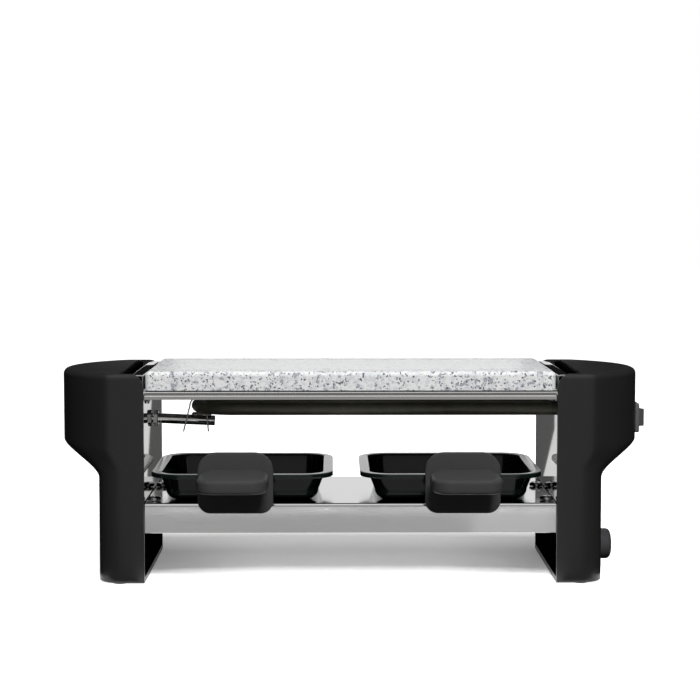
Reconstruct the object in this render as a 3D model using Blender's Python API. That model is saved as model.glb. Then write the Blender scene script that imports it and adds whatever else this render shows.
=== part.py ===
# Raclette grill for two, with a stone plate on top and two small pans under a heating element.
# Metres, +Z up. X runs along the grill from its middle, Y goes back from the front faces of the
# end housings, and Z goes up from the table. An empty then moves the whole grill so that the
# middle of its footprint is the origin.

import math

import bmesh
import bpy
from mathutils import Vector

for old in list(bpy.data.objects):
    bpy.data.objects.remove(old, do_unlink=True)

# Whole grill
inner_half = 0.105            # middle to the inner face of a side plate
depth = 0.100                 # front face to back face of an end housing
height = 0.108                # table to the deck of an end housing
foot_height = 0.001           # how far the rubber feet lift the housings
seat_gap = 0.0003             # left between pieces that touch
overrun = 0.002               # how far a cutter passes what it cuts

# End housings
wall = 0.0025
front_flat = 0.019            # flat front face, inner edge to crease
bow = 0.0277                  # how far the side bows out past the crease
leg_width = 0.0241            # inner edge to the leg's outer face
leg_corner = 0.012
flare_drop = 0.037            # deck to the end of the flare
flare_height = 0.017
deck_edge_radius = 0.003
cheek_corner_radius = 0.007   # rounded top inner corner of the front and back walls
deck_setback = 0.0125         # inner edge to the edge of the deck
post_radius = 0.003           # posts that take the cover screws
post_inset_share = 0.18       # front and back faces to the posts, as a share of the depth
post_drop = 0.029             # deck to the posts
post_sink = 0.0015            # how far a post runs into the outer wall
corner_steps = 4
side_steps = 6
flare_steps = 6
edge_steps = 3

# Inner covers
cover_wall = 0.0022
boss_radius = 0.003           # bosses that take the side plate screws

# Side plates
plate_wall = 0.0008
plate_drop = 0.0008           # deck height less the height of the folded top
top_fold = 0.007              # width of the folded top
hem_drop = 0.003              # turned down edge of the folded top
foot_fold = 0.012             # inward fold under the tray
plate_screw_share = 0.20      # front and back faces to the side plate screws, as a share of the depth
plate_screw_drop = 0.014      # deck to the side plate screws

# Rails under the stone
rail_wall = 0.0008
rail_drop = 0.0094            # deck to the top of a rail
rail_height = 0.0039
rail_step = 0.0021            # height of the proud lower strip
rail_proud = 0.0012           # lower strip in front of the upper strip
rail_setback = 0.0024         # housing face to the lower strip
ledge_width = 0.0102          # what the stone stands on

# Stone plate
stone_end_gap = 0.0004        # stone to a side plate
stone_setback = 0.004         # housing face to the stone
stone_thickness = 0.010
stone_edge_radius = 0.0025
stone_corner_radius = 0.003
stone_chamfer = 0.0006

# Tray
tray_wall = 0.0008
tray_setback = 0.0004         # housing face to the tray's lip
tray_top = 0.042
tray_lip = 0.0152
tray_bend = 0.0016
tray_end_gap = 0.0004         # tray end to a side plate
tray_screw_front = 0.011      # front face to the front tray screws
tray_screw_pitch = 0.0495     # front tray screws to the back ones
tray_screw_end = 0.0041       # side plate to a tray screw's axis

# Screws
screw_radius = 0.0015
screw_clearance = 0.0003
screw_head_radius = 0.003
screw_head_height = 0.0016
screw_length = 0.0075
tray_screw_head_radius = 0.0036
tray_screw_head_height = 0.0021

# Heating element
element_radius = 0.0033
element_drop = 0.0074         # rail's lower edge to the element's axis
element_spread_share = 0.42   # between the axes of the two legs, as a share of the depth
element_bend_room = 0.0207    # side plate to the outside of the bend
element_tail = 0.0155         # side plate's inner face to the end of the sheath
pin_radius = 0.00125
pin_length = 0.0095
bushing_radius = 0.006
bushing_length = 0.0025

# Support rod, nuts, saddle and clip
rod_radius = 0.0027
rod_drop = 0.0069             # element's axis to the rod's, at the side plate
rod_droop = math.radians(2.5)
rod_reach = 0.0332            # side plate to the rod's free end
rod_tail = 0.006              # behind the side plate's inner face
nut_flats = 0.0076
nut_length = 0.0024
saddle_length = 0.0105
saddle_end = 0.002            # rod's free end to the saddle
saddle_half = 0.0028
clip_radius = 0.0004
clip_tip_drop = 0.0139        # element's axis to the tips
clip_tip_splay = 0.0035       # how far a tip stands out from the tube side
clip_steps = 8

# Pans
pan_side_room = 0.00425       # side plate to a pan's rim, were the pair in the middle
pan_gap = 0.0139              # between the two rims
pan_back_room = 0.0085        # rim's back to the housing's back face
pan_height = 0.0142
pan_wall = 0.0009
pan_corner = 0.016
pan_flange = 0.0045
pan_taper = 0.003
pan_floor_radius = 0.005
pan_hem = 0.0022
pan_front = 0.0015            # housing face to the rim's front
pan_shift = -0.0020           # the loose pair stands a little to the left
pan_corner_steps = 5
pan_floor_steps = 3
bead_steps = 2

# Pan handles
left_handle_offset = 0.0023   # outward from the middle of the pan
right_handle_offset = 0.0047
shield_width = 0.0382
shield_height = 0.031
shield_dip = 0.0041           # how far the shield hangs below the tray's top
shield_thickness = 0.003
shield_setback = 0.0055       # rim's front to the back of the shield
shield_corner = 0.0065
grip_length = 0.041
grip_root_width = 0.0278
grip_end_width = 0.0346
grip_rise = 0.0114            # tray's top to the underside
grip_thickness = 0.0069
grip_corner = 0.009
grip_neck_share = 0.35        # where along its length the grip reaches full width
grip_edge_radius = 0.0014
tang_width = 0.014
tang_wall = 0.0012
tang_in_grip = 0.024
tang_drop_gap = 0.0018        # back of the shield to the drop of the tang
tang_rise = 0.0074            # tray's top to the tang's run under the rim
tang_tab = 0.004
handle_screw_radius = 0.0014
handle_screw_head = 0.0026
handle_screw_head_height = 0.0012
handle_screw_share = 0.4      # where along the grip the screw stands

# Rocker switch
switch_drop = 0.0268          # deck to the middle of the switch
switch_seat_depth = 0.0009    # flat cut into the bowed wall
bezel_width = 0.021
bezel_height = 0.0155
bezel_thickness = 0.002
switch_body_width = 0.019
switch_body_height = 0.013
switch_body_depth = 0.014
rocker_reach = 0.0082         # pivot to the tips of the rocker
rocker_height = 0.0092
rocker_gap = 0.0003
pivot_depth = 0.0015          # bezel's face to the pivot
rocker_belly = 0.0045         # pivot to the underside
rocker_dip = 0.0011           # how far the middle of the cap is hollowed
rocker_swing = math.radians(24)
rocker_belly_angle = math.radians(33)
rocker_end_steps = 4
tab_width = 0.0048
tab_wall = 0.0008
tab_length = 0.0078
tab_pitch = 0.009

# Cord gland
gland_height = 0.0125
gland_radius = 0.0081
gland_bore = 0.0035
gland_proud = 0.0105
gland_round = 0.0025
gland_shank_radius = 0.006
gland_tail = 0.0075           # leg's outer face to the inner end
lock_nut_radius = 0.0084
lock_nut_length = 0.0035

# Wiring
block_length = 0.020
block_depth = 0.008
block_height = 0.010
block_drop = 0.049            # deck to the block's underside
block_inset = 0.014           # back face to the block
block_hole = 0.0018
wire_radius = 0.0011
wire_bend = 0.009
wire_steps = 12
wire_dip = 0.002              # how far a wire's end enters the block
fuse_radius = 0.002
fuse_length = 0.011
fuse_drop = 0.035             # deck to the fuse's lower end
fuse_room = 0.0093            # inside of the bowed wall to the fuse's axis
earth_drop = 0.039            # deck to the earth screw
earth_inset = 0.011           # back face to the earth screw
earth_hole = 0.0042

# Rubber feet
foot_radius = 0.004
foot_stem_radius = 0.002
foot_stem = 0.0025
foot_setback = 0.008          # housing face to a foot's axis
foot_inset = 0.013            # inner edge of the housing to a foot's axis

round_steps = 20
small_steps = 12

# Derived places
mid_depth = depth / 2
flare_high = height - flare_drop
flare_low = flare_high - flare_height
post_inset = depth * post_inset_share
post_height = height - post_drop
plate_screw_inset = depth * plate_screw_share
plate_screw_height = height - plate_screw_drop
rail_top = height - rail_drop
rail_low = rail_top - rail_height
element_height = rail_low - element_drop
rod_height = element_height - rod_drop
clip_tip_height = element_height - clip_tip_drop
pan_half_width = (inner_half - pan_side_room - pan_gap / 2) / 2
pan_pitch = 2 * pan_half_width + pan_gap
pan_half_depth = (depth - pan_front - pan_back_room) / 2
shield_low = tray_top - shield_dip
grip_low = tray_top + grip_rise
tang_low = tray_top + tang_rise
switch_height = height - switch_drop
block_low = height - block_drop
fuse_low = height - fuse_drop
earth_height = height - earth_drop
bow_radius = (mid_depth ** 2 + bow ** 2) / (2 * bow)
outer_half = inner_half + front_flat + bow
bow_centre_x = outer_half - bow_radius
leg_outer = inner_half + leg_width
leg_inner = leg_outer - wall
housing_floor = foot_height + wall
plate_inner_fit = wall + seat_gap
plate_bottom = tray_top - tray_wall - seat_gap - plate_wall
plate_top = height - plate_drop
plate_outer = inner_half + plate_wall
shelf_top = plate_bottom - seat_gap
panel_outer = inner_half + deck_setback - seat_gap
panel_inner = panel_outer - cover_wall
element_spread = depth * element_spread_share
element_bend_reach = inner_half - element_bend_room
element_front = mid_depth - element_spread / 2
element_back = mid_depth + element_spread / 2
element_end = inner_half + element_tail
bend_radius = element_spread / 2
bend_centre_x = bend_radius + element_radius - element_bend_reach
rim_height = tray_top + seat_gap + pan_height
shield_back = pan_front - shield_setback
shield_front = shield_back - shield_thickness
grip_front = shield_front - grip_length
grip_middle = grip_low + grip_thickness / 2
seat_x = outer_half - switch_seat_depth
bezel_face = seat_x + seat_gap + bezel_thickness
pivot_x = bezel_face - pivot_depth
tip_angle = rocker_swing / 2 + math.asin(pivot_depth / rocker_reach)
rocker_tip_x = pivot_x + rocker_reach * math.sin(tip_angle + rocker_swing / 2)
switch_back_x = seat_x - switch_body_depth
tab_end_x = switch_back_x - tab_length
stone_low = rail_top + seat_gap
footprint_x = (rocker_tip_x - outer_half) / 2
footprint_y = (depth + grip_front) / 2

grill = bpy.data.objects.new("grill_origin", None)
grill.location = (-footprint_x, -footprint_y, 0)
bpy.context.collection.objects.link(grill)


def finish(name, colour, roughness, metallic):
    made = bpy.data.materials.new(name)
    made.use_nodes = True
    shader = made.node_tree.nodes["Principled BSDF"]
    shader.inputs["Base Color"].default_value = (*colour, 1)
    shader.inputs["Roughness"].default_value = roughness
    shader.inputs["Metallic"].default_value = metallic
    return made


def housing_plastic():
    return finish("housing_plastic", (0.022, 0.022, 0.023), 0.5, 0)


def cover_plastic():
    return finish("cover_plastic", (0.012, 0.012, 0.012), 0.6, 0)


def handle_plastic():
    return finish("handle_plastic", (0.035, 0.035, 0.035), 0.5, 0)


def polished_steel():
    return finish("polished_steel", (0.62, 0.61, 0.58), 0.12, 1)


def brushed_steel():
    return finish("brushed_steel", (0.6, 0.6, 0.6), 0.3, 1)


def zinc_steel():
    return finish("zinc_steel", (0.5, 0.5, 0.5), 0.3, 1)


def granite():
    return finish("granite", (0.72, 0.73, 0.75), 0.45, 0)


def element_sheath():
    return finish("element_sheath", (0.03, 0.03, 0.025), 0.45, 0.6)


def pan_coating():
    return finish("pan_coating", (0.012, 0.018, 0.017), 0.2, 0)


def switch_plastic():
    return finish("switch_plastic", (0.05, 0.05, 0.05), 0.35, 0)


def rocker_plastic():
    return finish("rocker_plastic", (0.09, 0.09, 0.09), 0.35, 0)


def gland_plastic():
    return finish("gland_plastic", (0.04, 0.04, 0.042), 0.4, 0)


def foot_rubber():
    return finish("foot_rubber", (0.02, 0.02, 0.02), 0.9, 0)


def brass():
    return finish("brass", (0.7, 0.5, 0.2), 0.3, 1)


def block_ceramic():
    return finish("block_ceramic", (0.8, 0.78, 0.72), 0.5, 0)


def wire_sleeve(name, colour):
    return finish(name, colour, 0.5, 0)


def place_object(name, bm, surface):
    bmesh.ops.recalc_face_normals(bm, faces=bm.faces)
    mesh = bpy.data.meshes.new(name)
    bm.to_mesh(mesh)
    bm.free()
    made = bpy.data.objects.new(name, mesh)
    made.parent = grill
    bpy.context.collection.objects.link(made)
    if surface:
        mesh.materials.append(surface)
    return made


def as_cutter(tool):
    tool.hide_render = True
    tool.display_type = "WIRE"
    return tool


def boolean(target, tool, operation):
    as_cutter(tool)
    change = target.modifiers.new(tool.name, "BOOLEAN")
    change.operation = operation
    change.solver = "EXACT"
    change.object = tool


def cut(target, tool):
    boolean(target, tool, "DIFFERENCE")


def join(target, tool):
    boolean(target, tool, "UNION")


def along_axis(axis, flat, level):
    # A point from two coordinates in the plane square to an axis, and its place on that axis.
    if axis == "X":
        return (level, flat[0], flat[1])
    if axis == "Y":
        return (flat[0], level, flat[1])
    return (flat[0], flat[1], level)


def prism_into(bm, outline, axis, low, high):
    verts = [bm.verts.new(along_axis(axis, flat, low)) for flat in outline]
    face = bm.faces.new(verts)
    grown = bmesh.ops.extrude_face_region(bm, geom=[face])
    moved = [item for item in grown["geom"] if isinstance(item, bmesh.types.BMVert)]
    bmesh.ops.translate(bm, verts=moved, vec=Vector(along_axis(axis, (0, 0), high - low)))


def prism(name, outline, axis, low, high, surface=None):
    bm = bmesh.new()
    prism_into(bm, outline, axis, low, high)
    return place_object(name, bm, surface)


def rectangle(low, high):
    return [(low[0], low[1]), (high[0], low[1]), (high[0], high[1]), (low[0], high[1])]


def block(name, low, high, surface=None):
    return prism(name, rectangle(low, high), "Z", low[2], high[2], surface)


def circle(centre, radius, steps):
    turns = [2 * math.pi * step / steps for step in range(steps)]
    return [(centre[0] + radius * math.cos(turn), centre[1] + radius * math.sin(turn)) for turn in turns]


def cylinders(name, places, radius, axis, low, high, steps, surface=None):
    bm = bmesh.new()
    for place in places:
        prism_into(bm, circle(place, radius, steps), axis, low, high)
    return place_object(name, bm, surface)


def drill(target, name, places, radius, axis, low, high):
    cut(target, cylinders(name, places, radius, axis, low, high, small_steps))


def turned(name, profile, origin, axis, steps, surface=None, closed=False):
    # Spins a profile of (place along the axis, radius) once round the axis.
    bm = bmesh.new()
    direction = Vector(along_axis(axis, (0, 0), 1))
    side = Vector(along_axis(axis, (1, 0), 0))
    verts = [bm.verts.new(Vector(origin) + direction * along + side * radius) for along, radius in profile]
    edges = [bm.edges.new(pair) for pair in zip(verts, verts[1:])]
    if closed:
        edges.append(bm.edges.new((verts[-1], verts[0])))
    bmesh.ops.spin(bm, geom=verts + edges, cent=origin, axis=direction, angle=2 * math.pi,
                   steps=steps, use_merge=True)
    bmesh.ops.remove_doubles(bm, verts=bm.verts, dist=seat_gap / 100)
    return place_object(name, bm, surface)


def loft(name, rings, surface=None):
    bm = bmesh.new()
    loops = [[bm.verts.new(point) for point in ring] for ring in rings]
    for low, high in zip(loops, loops[1:]):
        for index in range(len(low)):
            after = (index + 1) % len(low)
            bm.faces.new((low[index], low[after], high[after], high[index]))
    bm.faces.new(loops[0])
    bm.faces.new(loops[-1])
    return place_object(name, bm, surface)


def bent_tube(name, points, radius, resolution, surface):
    curve = bpy.data.curves.new(name, "CURVE")
    curve.dimensions = "3D"
    curve.bevel_depth = radius
    curve.bevel_resolution = resolution
    curve.use_fill_caps = True
    spline = curve.splines.new("POLY")
    spline.points.add(len(points) - 1)
    for target, point in zip(spline.points, points):
        target.co = (*point, 1)
    curve.materials.append(surface)
    made = bpy.data.objects.new(name, curve)
    made.parent = grill
    bpy.context.collection.objects.link(made)
    return made


def rounded_rectangle(half_x, half_y, radius, steps):
    points = []
    for quarter, (sign_x, sign_y) in enumerate(((1, 1), (-1, 1), (-1, -1), (1, -1))):
        centre_x = sign_x * (half_x - radius)
        centre_y = sign_y * (half_y - radius)
        for step in range(steps + 1):
            turn = math.pi / 2 * (quarter + step / steps)
            points.append((centre_x + radius * math.cos(turn), centre_y + radius * math.sin(turn)))
    return points


def screw_profile(head_radius, head_height, shank_radius, shank_length):
    # Domed head from its crown down, then the shank; the seat of the head is at zero.
    rim = head_height / 2
    shoulder = (head_height, head_radius / 2)
    return [(head_height, 0), shoulder, (rim, head_radius), (0, head_radius), (0, shank_radius),
            (-shank_length, shank_radius), (-shank_length, 0)]


def mirrored(profile):
    return [(-along, radius) for along, radius in profile]


def housing_plan(share, inset, inner_x):
    # Front inner corner, round the outer side, to the back inner corner.
    # A share of 0 is the leg's rounded rectangle and 1 is the bowed top.
    radius = bow_radius - inset
    half_turn = math.asin((mid_depth - inset) / radius)
    corner = leg_corner - inset
    leg_face = leg_outer - inset
    total = 2 * corner_steps + side_steps
    points = [(inner_x, inset)]
    for index in range(total + 1):
        turn = half_turn * (2 * index / total - 1)
        top = Vector((bow_centre_x + radius * math.cos(turn), mid_depth + radius * math.sin(turn)))
        if index <= corner_steps:
            turn = math.pi / 2 * (index / corner_steps - 1)
            leg = Vector((leg_face - corner + corner * math.cos(turn),
                          inset + corner + corner * math.sin(turn)))
        elif index < corner_steps + side_steps:
            straight = depth - 2 * inset - 2 * corner
            leg = Vector((leg_face, inset + corner + straight * (index - corner_steps) / side_steps))
        else:
            turn = math.pi / 2 * (index - corner_steps - side_steps) / corner_steps
            leg = Vector((leg_face - corner + corner * math.cos(turn),
                          depth - inset - corner + corner * math.sin(turn)))
        points.append(tuple(leg.lerp(top, share)))
    points.append((inner_x, depth - inset))
    return points


def housing_rings(side, inset, inner_x, low, high, lift, edge):
    def ring(z, share, extra):
        return [(side * x, y, z) for x, y in housing_plan(share, inset + extra, inner_x)]

    rings = [ring(low, 0, 0)]
    for step in range(flare_steps + 1):
        along = step / flare_steps
        z = flare_low + lift + (flare_high - flare_low) * along
        rings.append(ring(z, along * along * (3 - 2 * along), 0))
    for step in range(edge_steps + 1):
        turn = math.pi / 2 * step / edge_steps
        rings.append(ring(high - edge + edge * math.sin(turn), 1, edge * (1 - math.cos(turn))))
    return rings


def cheek_cutter(name, side):
    # Rounds the top inner corner of the front and back walls.
    centre_x = inner_half + cheek_corner_radius
    centre_z = height - cheek_corner_radius
    outline = [(inner_half - overrun, height + overrun), (inner_half - overrun, centre_z)]
    for step in range(edge_steps + 2):
        turn = math.pi - math.pi / 2 * step / (edge_steps + 1)
        outline.append((centre_x + cheek_corner_radius * math.cos(turn),
                        centre_z + cheek_corner_radius * math.sin(turn)))
    outline.append((centre_x, height + overrun))
    outline = [(side * x, z) for x, z in outline]
    return prism(name, outline, "Y", -overrun, depth + overrun)


def span(side, low, high):
    return sorted((side * low, side * high))


def side_block(name, side, low, high, surface=None):
    left, right = span(side, low[0], high[0])
    return block(name, (left, low[1], low[2]), (right, high[1], high[2]), surface)


def bowed_face(y):
    return bow_centre_x + math.sqrt(bow_radius ** 2 - (y - mid_depth) ** 2)


def ends(inset):
    # Front and back places at the same distance from the housing's faces.
    return [("front", inset), ("back", depth - inset)]


def tray_screw_ends():
    return [("front", tray_screw_front), ("back", tray_screw_front + tray_screw_pitch)]


def end_housing(hand, side):
    surface = housing_plastic()
    shell = loft(hand + "_housing", housing_rings(side, 0, inner_half, foot_height, height, 0, deck_edge_radius),
                 surface)
    cavity = housing_rings(side, wall, inner_half - overrun, housing_floor, height - wall, wall, deck_edge_radius / 2)
    cut(shell, loft(hand + "_cavity_cutter", cavity))
    cut(shell, side_block(hand + "_notch_cutter", side, (inner_half - overrun, wall, height - 2 * wall),
                          (inner_half + deck_setback, depth - wall, height + overrun)))
    cut(shell, cheek_cutter(hand + "_cheek_cutter", side))
    post_start = inner_half + deck_setback
    post_end = bowed_face(post_inset - post_radius) - post_sink
    places = [(y, post_height) for end, y in ends(post_inset)]
    left, right = span(side, post_start, post_end)
    join(shell, cylinders(hand + "_posts", places, post_radius, "X", left, right, small_steps))
    left, right = span(side, post_start - overrun, post_start + screw_length)
    drill(shell, hand + "_pilot_cutter", places, screw_radius + screw_clearance, "X", left, right)
    feet = [(side * (inner_half + foot_inset), y) for end, y in ends(foot_setback)]
    drill(shell, hand + "_foot_cutter", feet, foot_stem_radius + screw_clearance, "Z", 0, housing_floor + overrun)
    if side > 0:
        fit_switch_and_gland(shell)
    return shell


def fit_switch_and_gland(shell):
    # A flat for the bezel, the opening behind it and the round hole for the gland.
    half_y = bezel_width / 2 + seat_gap
    half_z = bezel_height / 2 + seat_gap
    cut(shell, block("switch_seat_cutter", (seat_x, mid_depth - half_y, switch_height - half_z),
                     (outer_half + overrun, mid_depth + half_y, switch_height + half_z)))
    half_y = switch_body_width / 2 + seat_gap
    half_z = switch_body_height / 2 + seat_gap
    cut(shell, block("switch_opening_cutter", (seat_x - 2 * wall, mid_depth - half_y, switch_height - half_z),
                     (outer_half + overrun, mid_depth + half_y, switch_height + half_z)))
    cut(shell, cylinders("gland_hole_cutter", [(mid_depth, gland_height)], gland_shank_radius + seat_gap, "X",
                         leg_inner - overrun, leg_outer + overrun, round_steps))


def inner_cover(hand, side):
    # Black wall towards the middle below the tray, a shelf, and a panel behind the side plate.
    low = housing_floor + seat_gap
    apron = inner_half + cover_wall
    panel_top = height - seat_gap - plate_drop
    outline = [(inner_half, low), (apron, low), (apron, shelf_top - cover_wall),
               (panel_outer, shelf_top - cover_wall), (panel_outer, panel_top), (panel_inner, panel_top),
               (panel_inner, shelf_top), (inner_half, shelf_top)]
    outline = [(side * x, z) for x, z in outline]
    cover = prism(hand + "_inner_cover", outline, "Y", plate_inner_fit, depth - plate_inner_fit, cover_plastic())
    places = [(y, plate_screw_height) for end, y in ends(plate_screw_inset)]
    left, right = span(side, plate_outer + seat_gap, panel_inner + cover_wall / 2)
    join(cover, cylinders(hand + "_cover_bosses", places, boss_radius, "X", left, right, small_steps))
    left, right = span(side, plate_outer - overrun, inner_half + screw_length + screw_clearance)
    drill(cover, hand + "_boss_cutter", places, screw_radius + screw_clearance, "X", left, right)
    places = [(y, post_height) for end, y in ends(post_inset)]
    left, right = span(side, panel_inner - overrun, panel_outer + overrun)
    drill(cover, hand + "_cover_hole_cutter", places, screw_radius + screw_clearance, "X", left, right)
    if side > 0:
        places = [(element_front, element_height), (element_back, element_height)]
        drill(cover, "element_cover_cutter", places, element_radius + wall / 2, "X", left, right)
        drill(cover, "earth_cover_cutter", [(depth - earth_inset, earth_height)], earth_hole, "X", left, right)
    return cover


def side_plate(hand, side):
    # Polished wall with a fold over the deck's gap, a turned down hem and a foot under the tray.
    fold_end = inner_half + top_fold
    foot_end = inner_half - foot_fold
    outline = [(foot_end, plate_bottom), (plate_outer, plate_bottom), (plate_outer, plate_top - plate_wall),
               (fold_end - plate_wall, plate_top - plate_wall), (fold_end - plate_wall, plate_top - hem_drop),
               (fold_end, plate_top - hem_drop), (fold_end, plate_top), (inner_half, plate_top),
               (inner_half, plate_bottom + plate_wall), (foot_end, plate_bottom + plate_wall)]
    outline = [(side * x, z) for x, z in outline]
    plate = prism(hand + "_side_plate", outline, "Y", plate_inner_fit, depth - plate_inner_fit, polished_steel())
    left, right = span(side, inner_half - overrun, plate_outer + overrun)
    places = [(y, plate_screw_height) for end, y in ends(plate_screw_inset)]
    drill(plate, hand + "_plate_hole_cutter", places, screw_radius + screw_clearance, "X", left, right)
    places = [(side * (inner_half - tray_screw_end), y) for end, y in tray_screw_ends()]
    drill(plate, hand + "_foot_hole_cutter", places, screw_radius + screw_clearance, "Z",
          plate_bottom - overrun, plate_bottom + plate_wall + overrun)
    if side > 0:
        places = [(element_front, element_height), (element_back, element_height)]
        drill(plate, "element_plate_cutter", places, element_radius + seat_gap, "X", left, right)
    else:
        drill(plate, "rod_plate_cutter", [(mid_depth, rod_height)], rod_radius + 2 * seat_gap, "X", left, right)
    return plate


def rail(name, front):
    # Folded strip: a proud lower strip, a recessed upper strip and the ledge that carries the stone.
    lower_top = rail_low + rail_step
    upper_face = rail_setback + rail_proud
    outline = [(rail_setback, rail_low), (rail_setback + rail_wall, rail_low),
               (rail_setback + rail_wall, lower_top - rail_wall), (upper_face + rail_wall, lower_top - rail_wall),
               (upper_face + rail_wall, rail_top - rail_wall), (upper_face + ledge_width, rail_top - rail_wall),
               (upper_face + ledge_width, rail_top), (upper_face, rail_top), (upper_face, lower_top),
               (rail_setback, lower_top)]
    if not front:
        outline = [(depth - y, z) for y, z in outline]
    end = inner_half - seat_gap
    return prism(name, outline, "X", -end, end, polished_steel())


def stone_plate():
    half_x = inner_half - stone_end_gap
    half_y = mid_depth - stone_setback
    top = stone_low + stone_thickness
    levels = [(stone_chamfer, stone_low), (0, stone_low + stone_chamfer)]
    for step in range(edge_steps + 1):
        turn = math.pi / 2 * step / edge_steps
        levels.append((stone_edge_radius * (1 - math.cos(turn)),
                       top - stone_edge_radius + stone_edge_radius * math.sin(turn)))
    rings = []
    for inset, z in levels:
        corner = max(stone_corner_radius - inset, stone_chamfer)
        outline = rounded_rectangle(half_x - inset, half_y - inset, corner, edge_steps)
        rings.append([(x, y + mid_depth, z) for x, y in outline])
    return loft("stone_plate", rings, granite())


def tray():
    # Channel of sheet steel with rounded bends and a lip at the front and back.
    low = tray_top - tray_lip
    outer = []
    inner = []
    for centre_y, start in ((tray_setback + tray_bend, math.pi), (depth - tray_setback - tray_bend, math.pi / 2)):
        for step in range(edge_steps + 1):
            turn = start - math.pi / 2 * step / edge_steps
            outer.append((centre_y + tray_bend * math.cos(turn), tray_top - tray_bend + tray_bend * math.sin(turn)))
            radius = tray_bend - tray_wall
            inner.append((centre_y + radius * math.cos(turn), tray_top - tray_bend + radius * math.sin(turn)))
    front = tray_setback
    back = depth - tray_setback
    outline = [(front, low)] + outer + [(back, low), (back - tray_wall, low)]
    outline += list(reversed(inner)) + [(front + tray_wall, low)]
    end = inner_half - tray_end_gap
    pan_tray = prism("tray", outline, "X", -end, end, brushed_steel())
    reach = inner_half - tray_screw_end
    places = [(x, y) for x in (-reach, reach) for end, y in tray_screw_ends()]
    drill(pan_tray, "tray_hole_cutter", places, screw_radius + screw_clearance, "Z",
          tray_top - tray_wall - overrun, tray_top + overrun)
    return pan_tray


def tray_screws(hand, side):
    profile = screw_profile(tray_screw_head_radius, tray_screw_head_height, screw_radius, screw_length)
    for end, y in tray_screw_ends():
        origin = (side * (inner_half - tray_screw_end), y, tray_top + seat_gap)
        turned(f"{hand}_{end}_tray_screw", profile, origin, "Z", small_steps, zinc_steel())


def plate_and_cover_screws(hand, side):
    # Heads face the middle of the grill.
    profile = screw_profile(screw_head_radius, screw_head_height, screw_radius, screw_length)
    if side > 0:
        profile = mirrored(profile)
    for end, y in ends(plate_screw_inset):
        origin = (side * (inner_half - seat_gap), y, plate_screw_height)
        turned(f"{hand}_{end}_plate_screw", profile, origin, "X", small_steps, zinc_steel())
    for end, y in ends(post_inset):
        origin = (side * (panel_inner - seat_gap), y, post_height)
        turned(f"{hand}_{end}_cover_screw", profile, origin, "X", small_steps, zinc_steel())


def heating_element():
    points = [(element_end, element_front, element_height)]
    for step in range(small_steps + 1):
        turn = -math.pi / 2 - math.pi * step / small_steps
        points.append((bend_centre_x + bend_radius * math.cos(turn), mid_depth + bend_radius * math.sin(turn),
                       element_height))
    points.append((element_end, element_back, element_height))
    return bent_tube("heating_element", points, element_radius, 4, element_sheath())


def element_ends():
    # A brass bushing on the side plate and a terminal pin for each leg of the element.
    bore = element_radius + seat_gap
    profile = [(0, bore), (0, bushing_radius), (bushing_length, bushing_radius), (bushing_length, bore)]
    start = element_end + seat_gap
    for end, y in (("front", element_front), ("back", element_back)):
        turned(end + "_element_bushing", profile, (plate_outer + seat_gap, y, element_height), "X", round_steps,
               brass(), closed=True)
        cylinders(end + "_element_pin", [(y, element_height)], pin_radius, "X", start, start + pin_length,
                  small_steps, zinc_steel())


def on_rod(made):
    # Hangs a piece on the drooping axis of the support rod, which starts in the side plate's face.
    made.location = (-inner_half, mid_depth, rod_height)
    made.rotation_euler = (0, rod_droop, 0)
    return made


def support_rod():
    bevel = rod_radius / 4
    profile = [(-rod_tail, 0), (-rod_tail, rod_radius), (rod_reach - bevel, rod_radius),
               (rod_reach, rod_radius - bevel), (rod_reach, 0)]
    return on_rod(turned("element_rod", profile, (0, 0, 0), "X", round_steps, polished_steel()))


def rod_nuts():
    # One hexagon nut on each face of the side plate.
    bore = circle((0, 0), rod_radius + seat_gap, small_steps)
    hexagon = circle((0, 0), nut_flats / math.sqrt(3), 6)
    lean = nut_flats / 2 * math.sin(rod_droop)
    front = seat_gap + lean
    back = -plate_wall - seat_gap - lean - nut_length
    for name, low in (("inner_rod_nut", front), ("outer_rod_nut", back)):
        nut = on_rod(prism(name, hexagon, "X", low, low + nut_length, zinc_steel()))
        cut(nut, on_rod(prism(name + "_cutter", bore, "X", low - overrun, low + nut_length + overrun)))


def element_saddle():
    # Folded seat on the rod that the bend of the element lies on.
    low = rod_radius + seat_gap
    end = rod_reach - saddle_end
    start = end - saddle_length
    sink = (start + saddle_length / 2) * math.sin(rod_droop)
    top = element_height - element_radius - seat_gap - rod_height + sink / 2
    step = (top - low) / 2
    outline = [(start, low), (end, low), (end, top - step), (end - step, top), (start + step, top),
               (start, top - step)]
    return on_rod(prism("element_saddle", outline, "Y", -saddle_half, saddle_half, element_sheath()))


def element_clip():
    # Sprung wire over the bend of the element with its two tips splayed below the rod.
    offset = rod_radius + seat_gap + clip_radius
    centre_x = bend_centre_x - math.sqrt(bend_radius ** 2 - offset ** 2)
    wrap = element_radius + clip_radius + 2 * seat_gap
    y = mid_depth - offset
    points = [(centre_x - wrap - clip_tip_splay, y, clip_tip_height)]
    for step in range(clip_steps + 1):
        turn = math.pi - math.pi * step / clip_steps
        points.append((centre_x + wrap * math.cos(turn), y, element_height + wrap * math.sin(turn)))
    points.append((centre_x + wrap + clip_tip_splay / 3, y, clip_tip_height))
    return bent_tube("element_clip", points, clip_radius, 1, zinc_steel())


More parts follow.
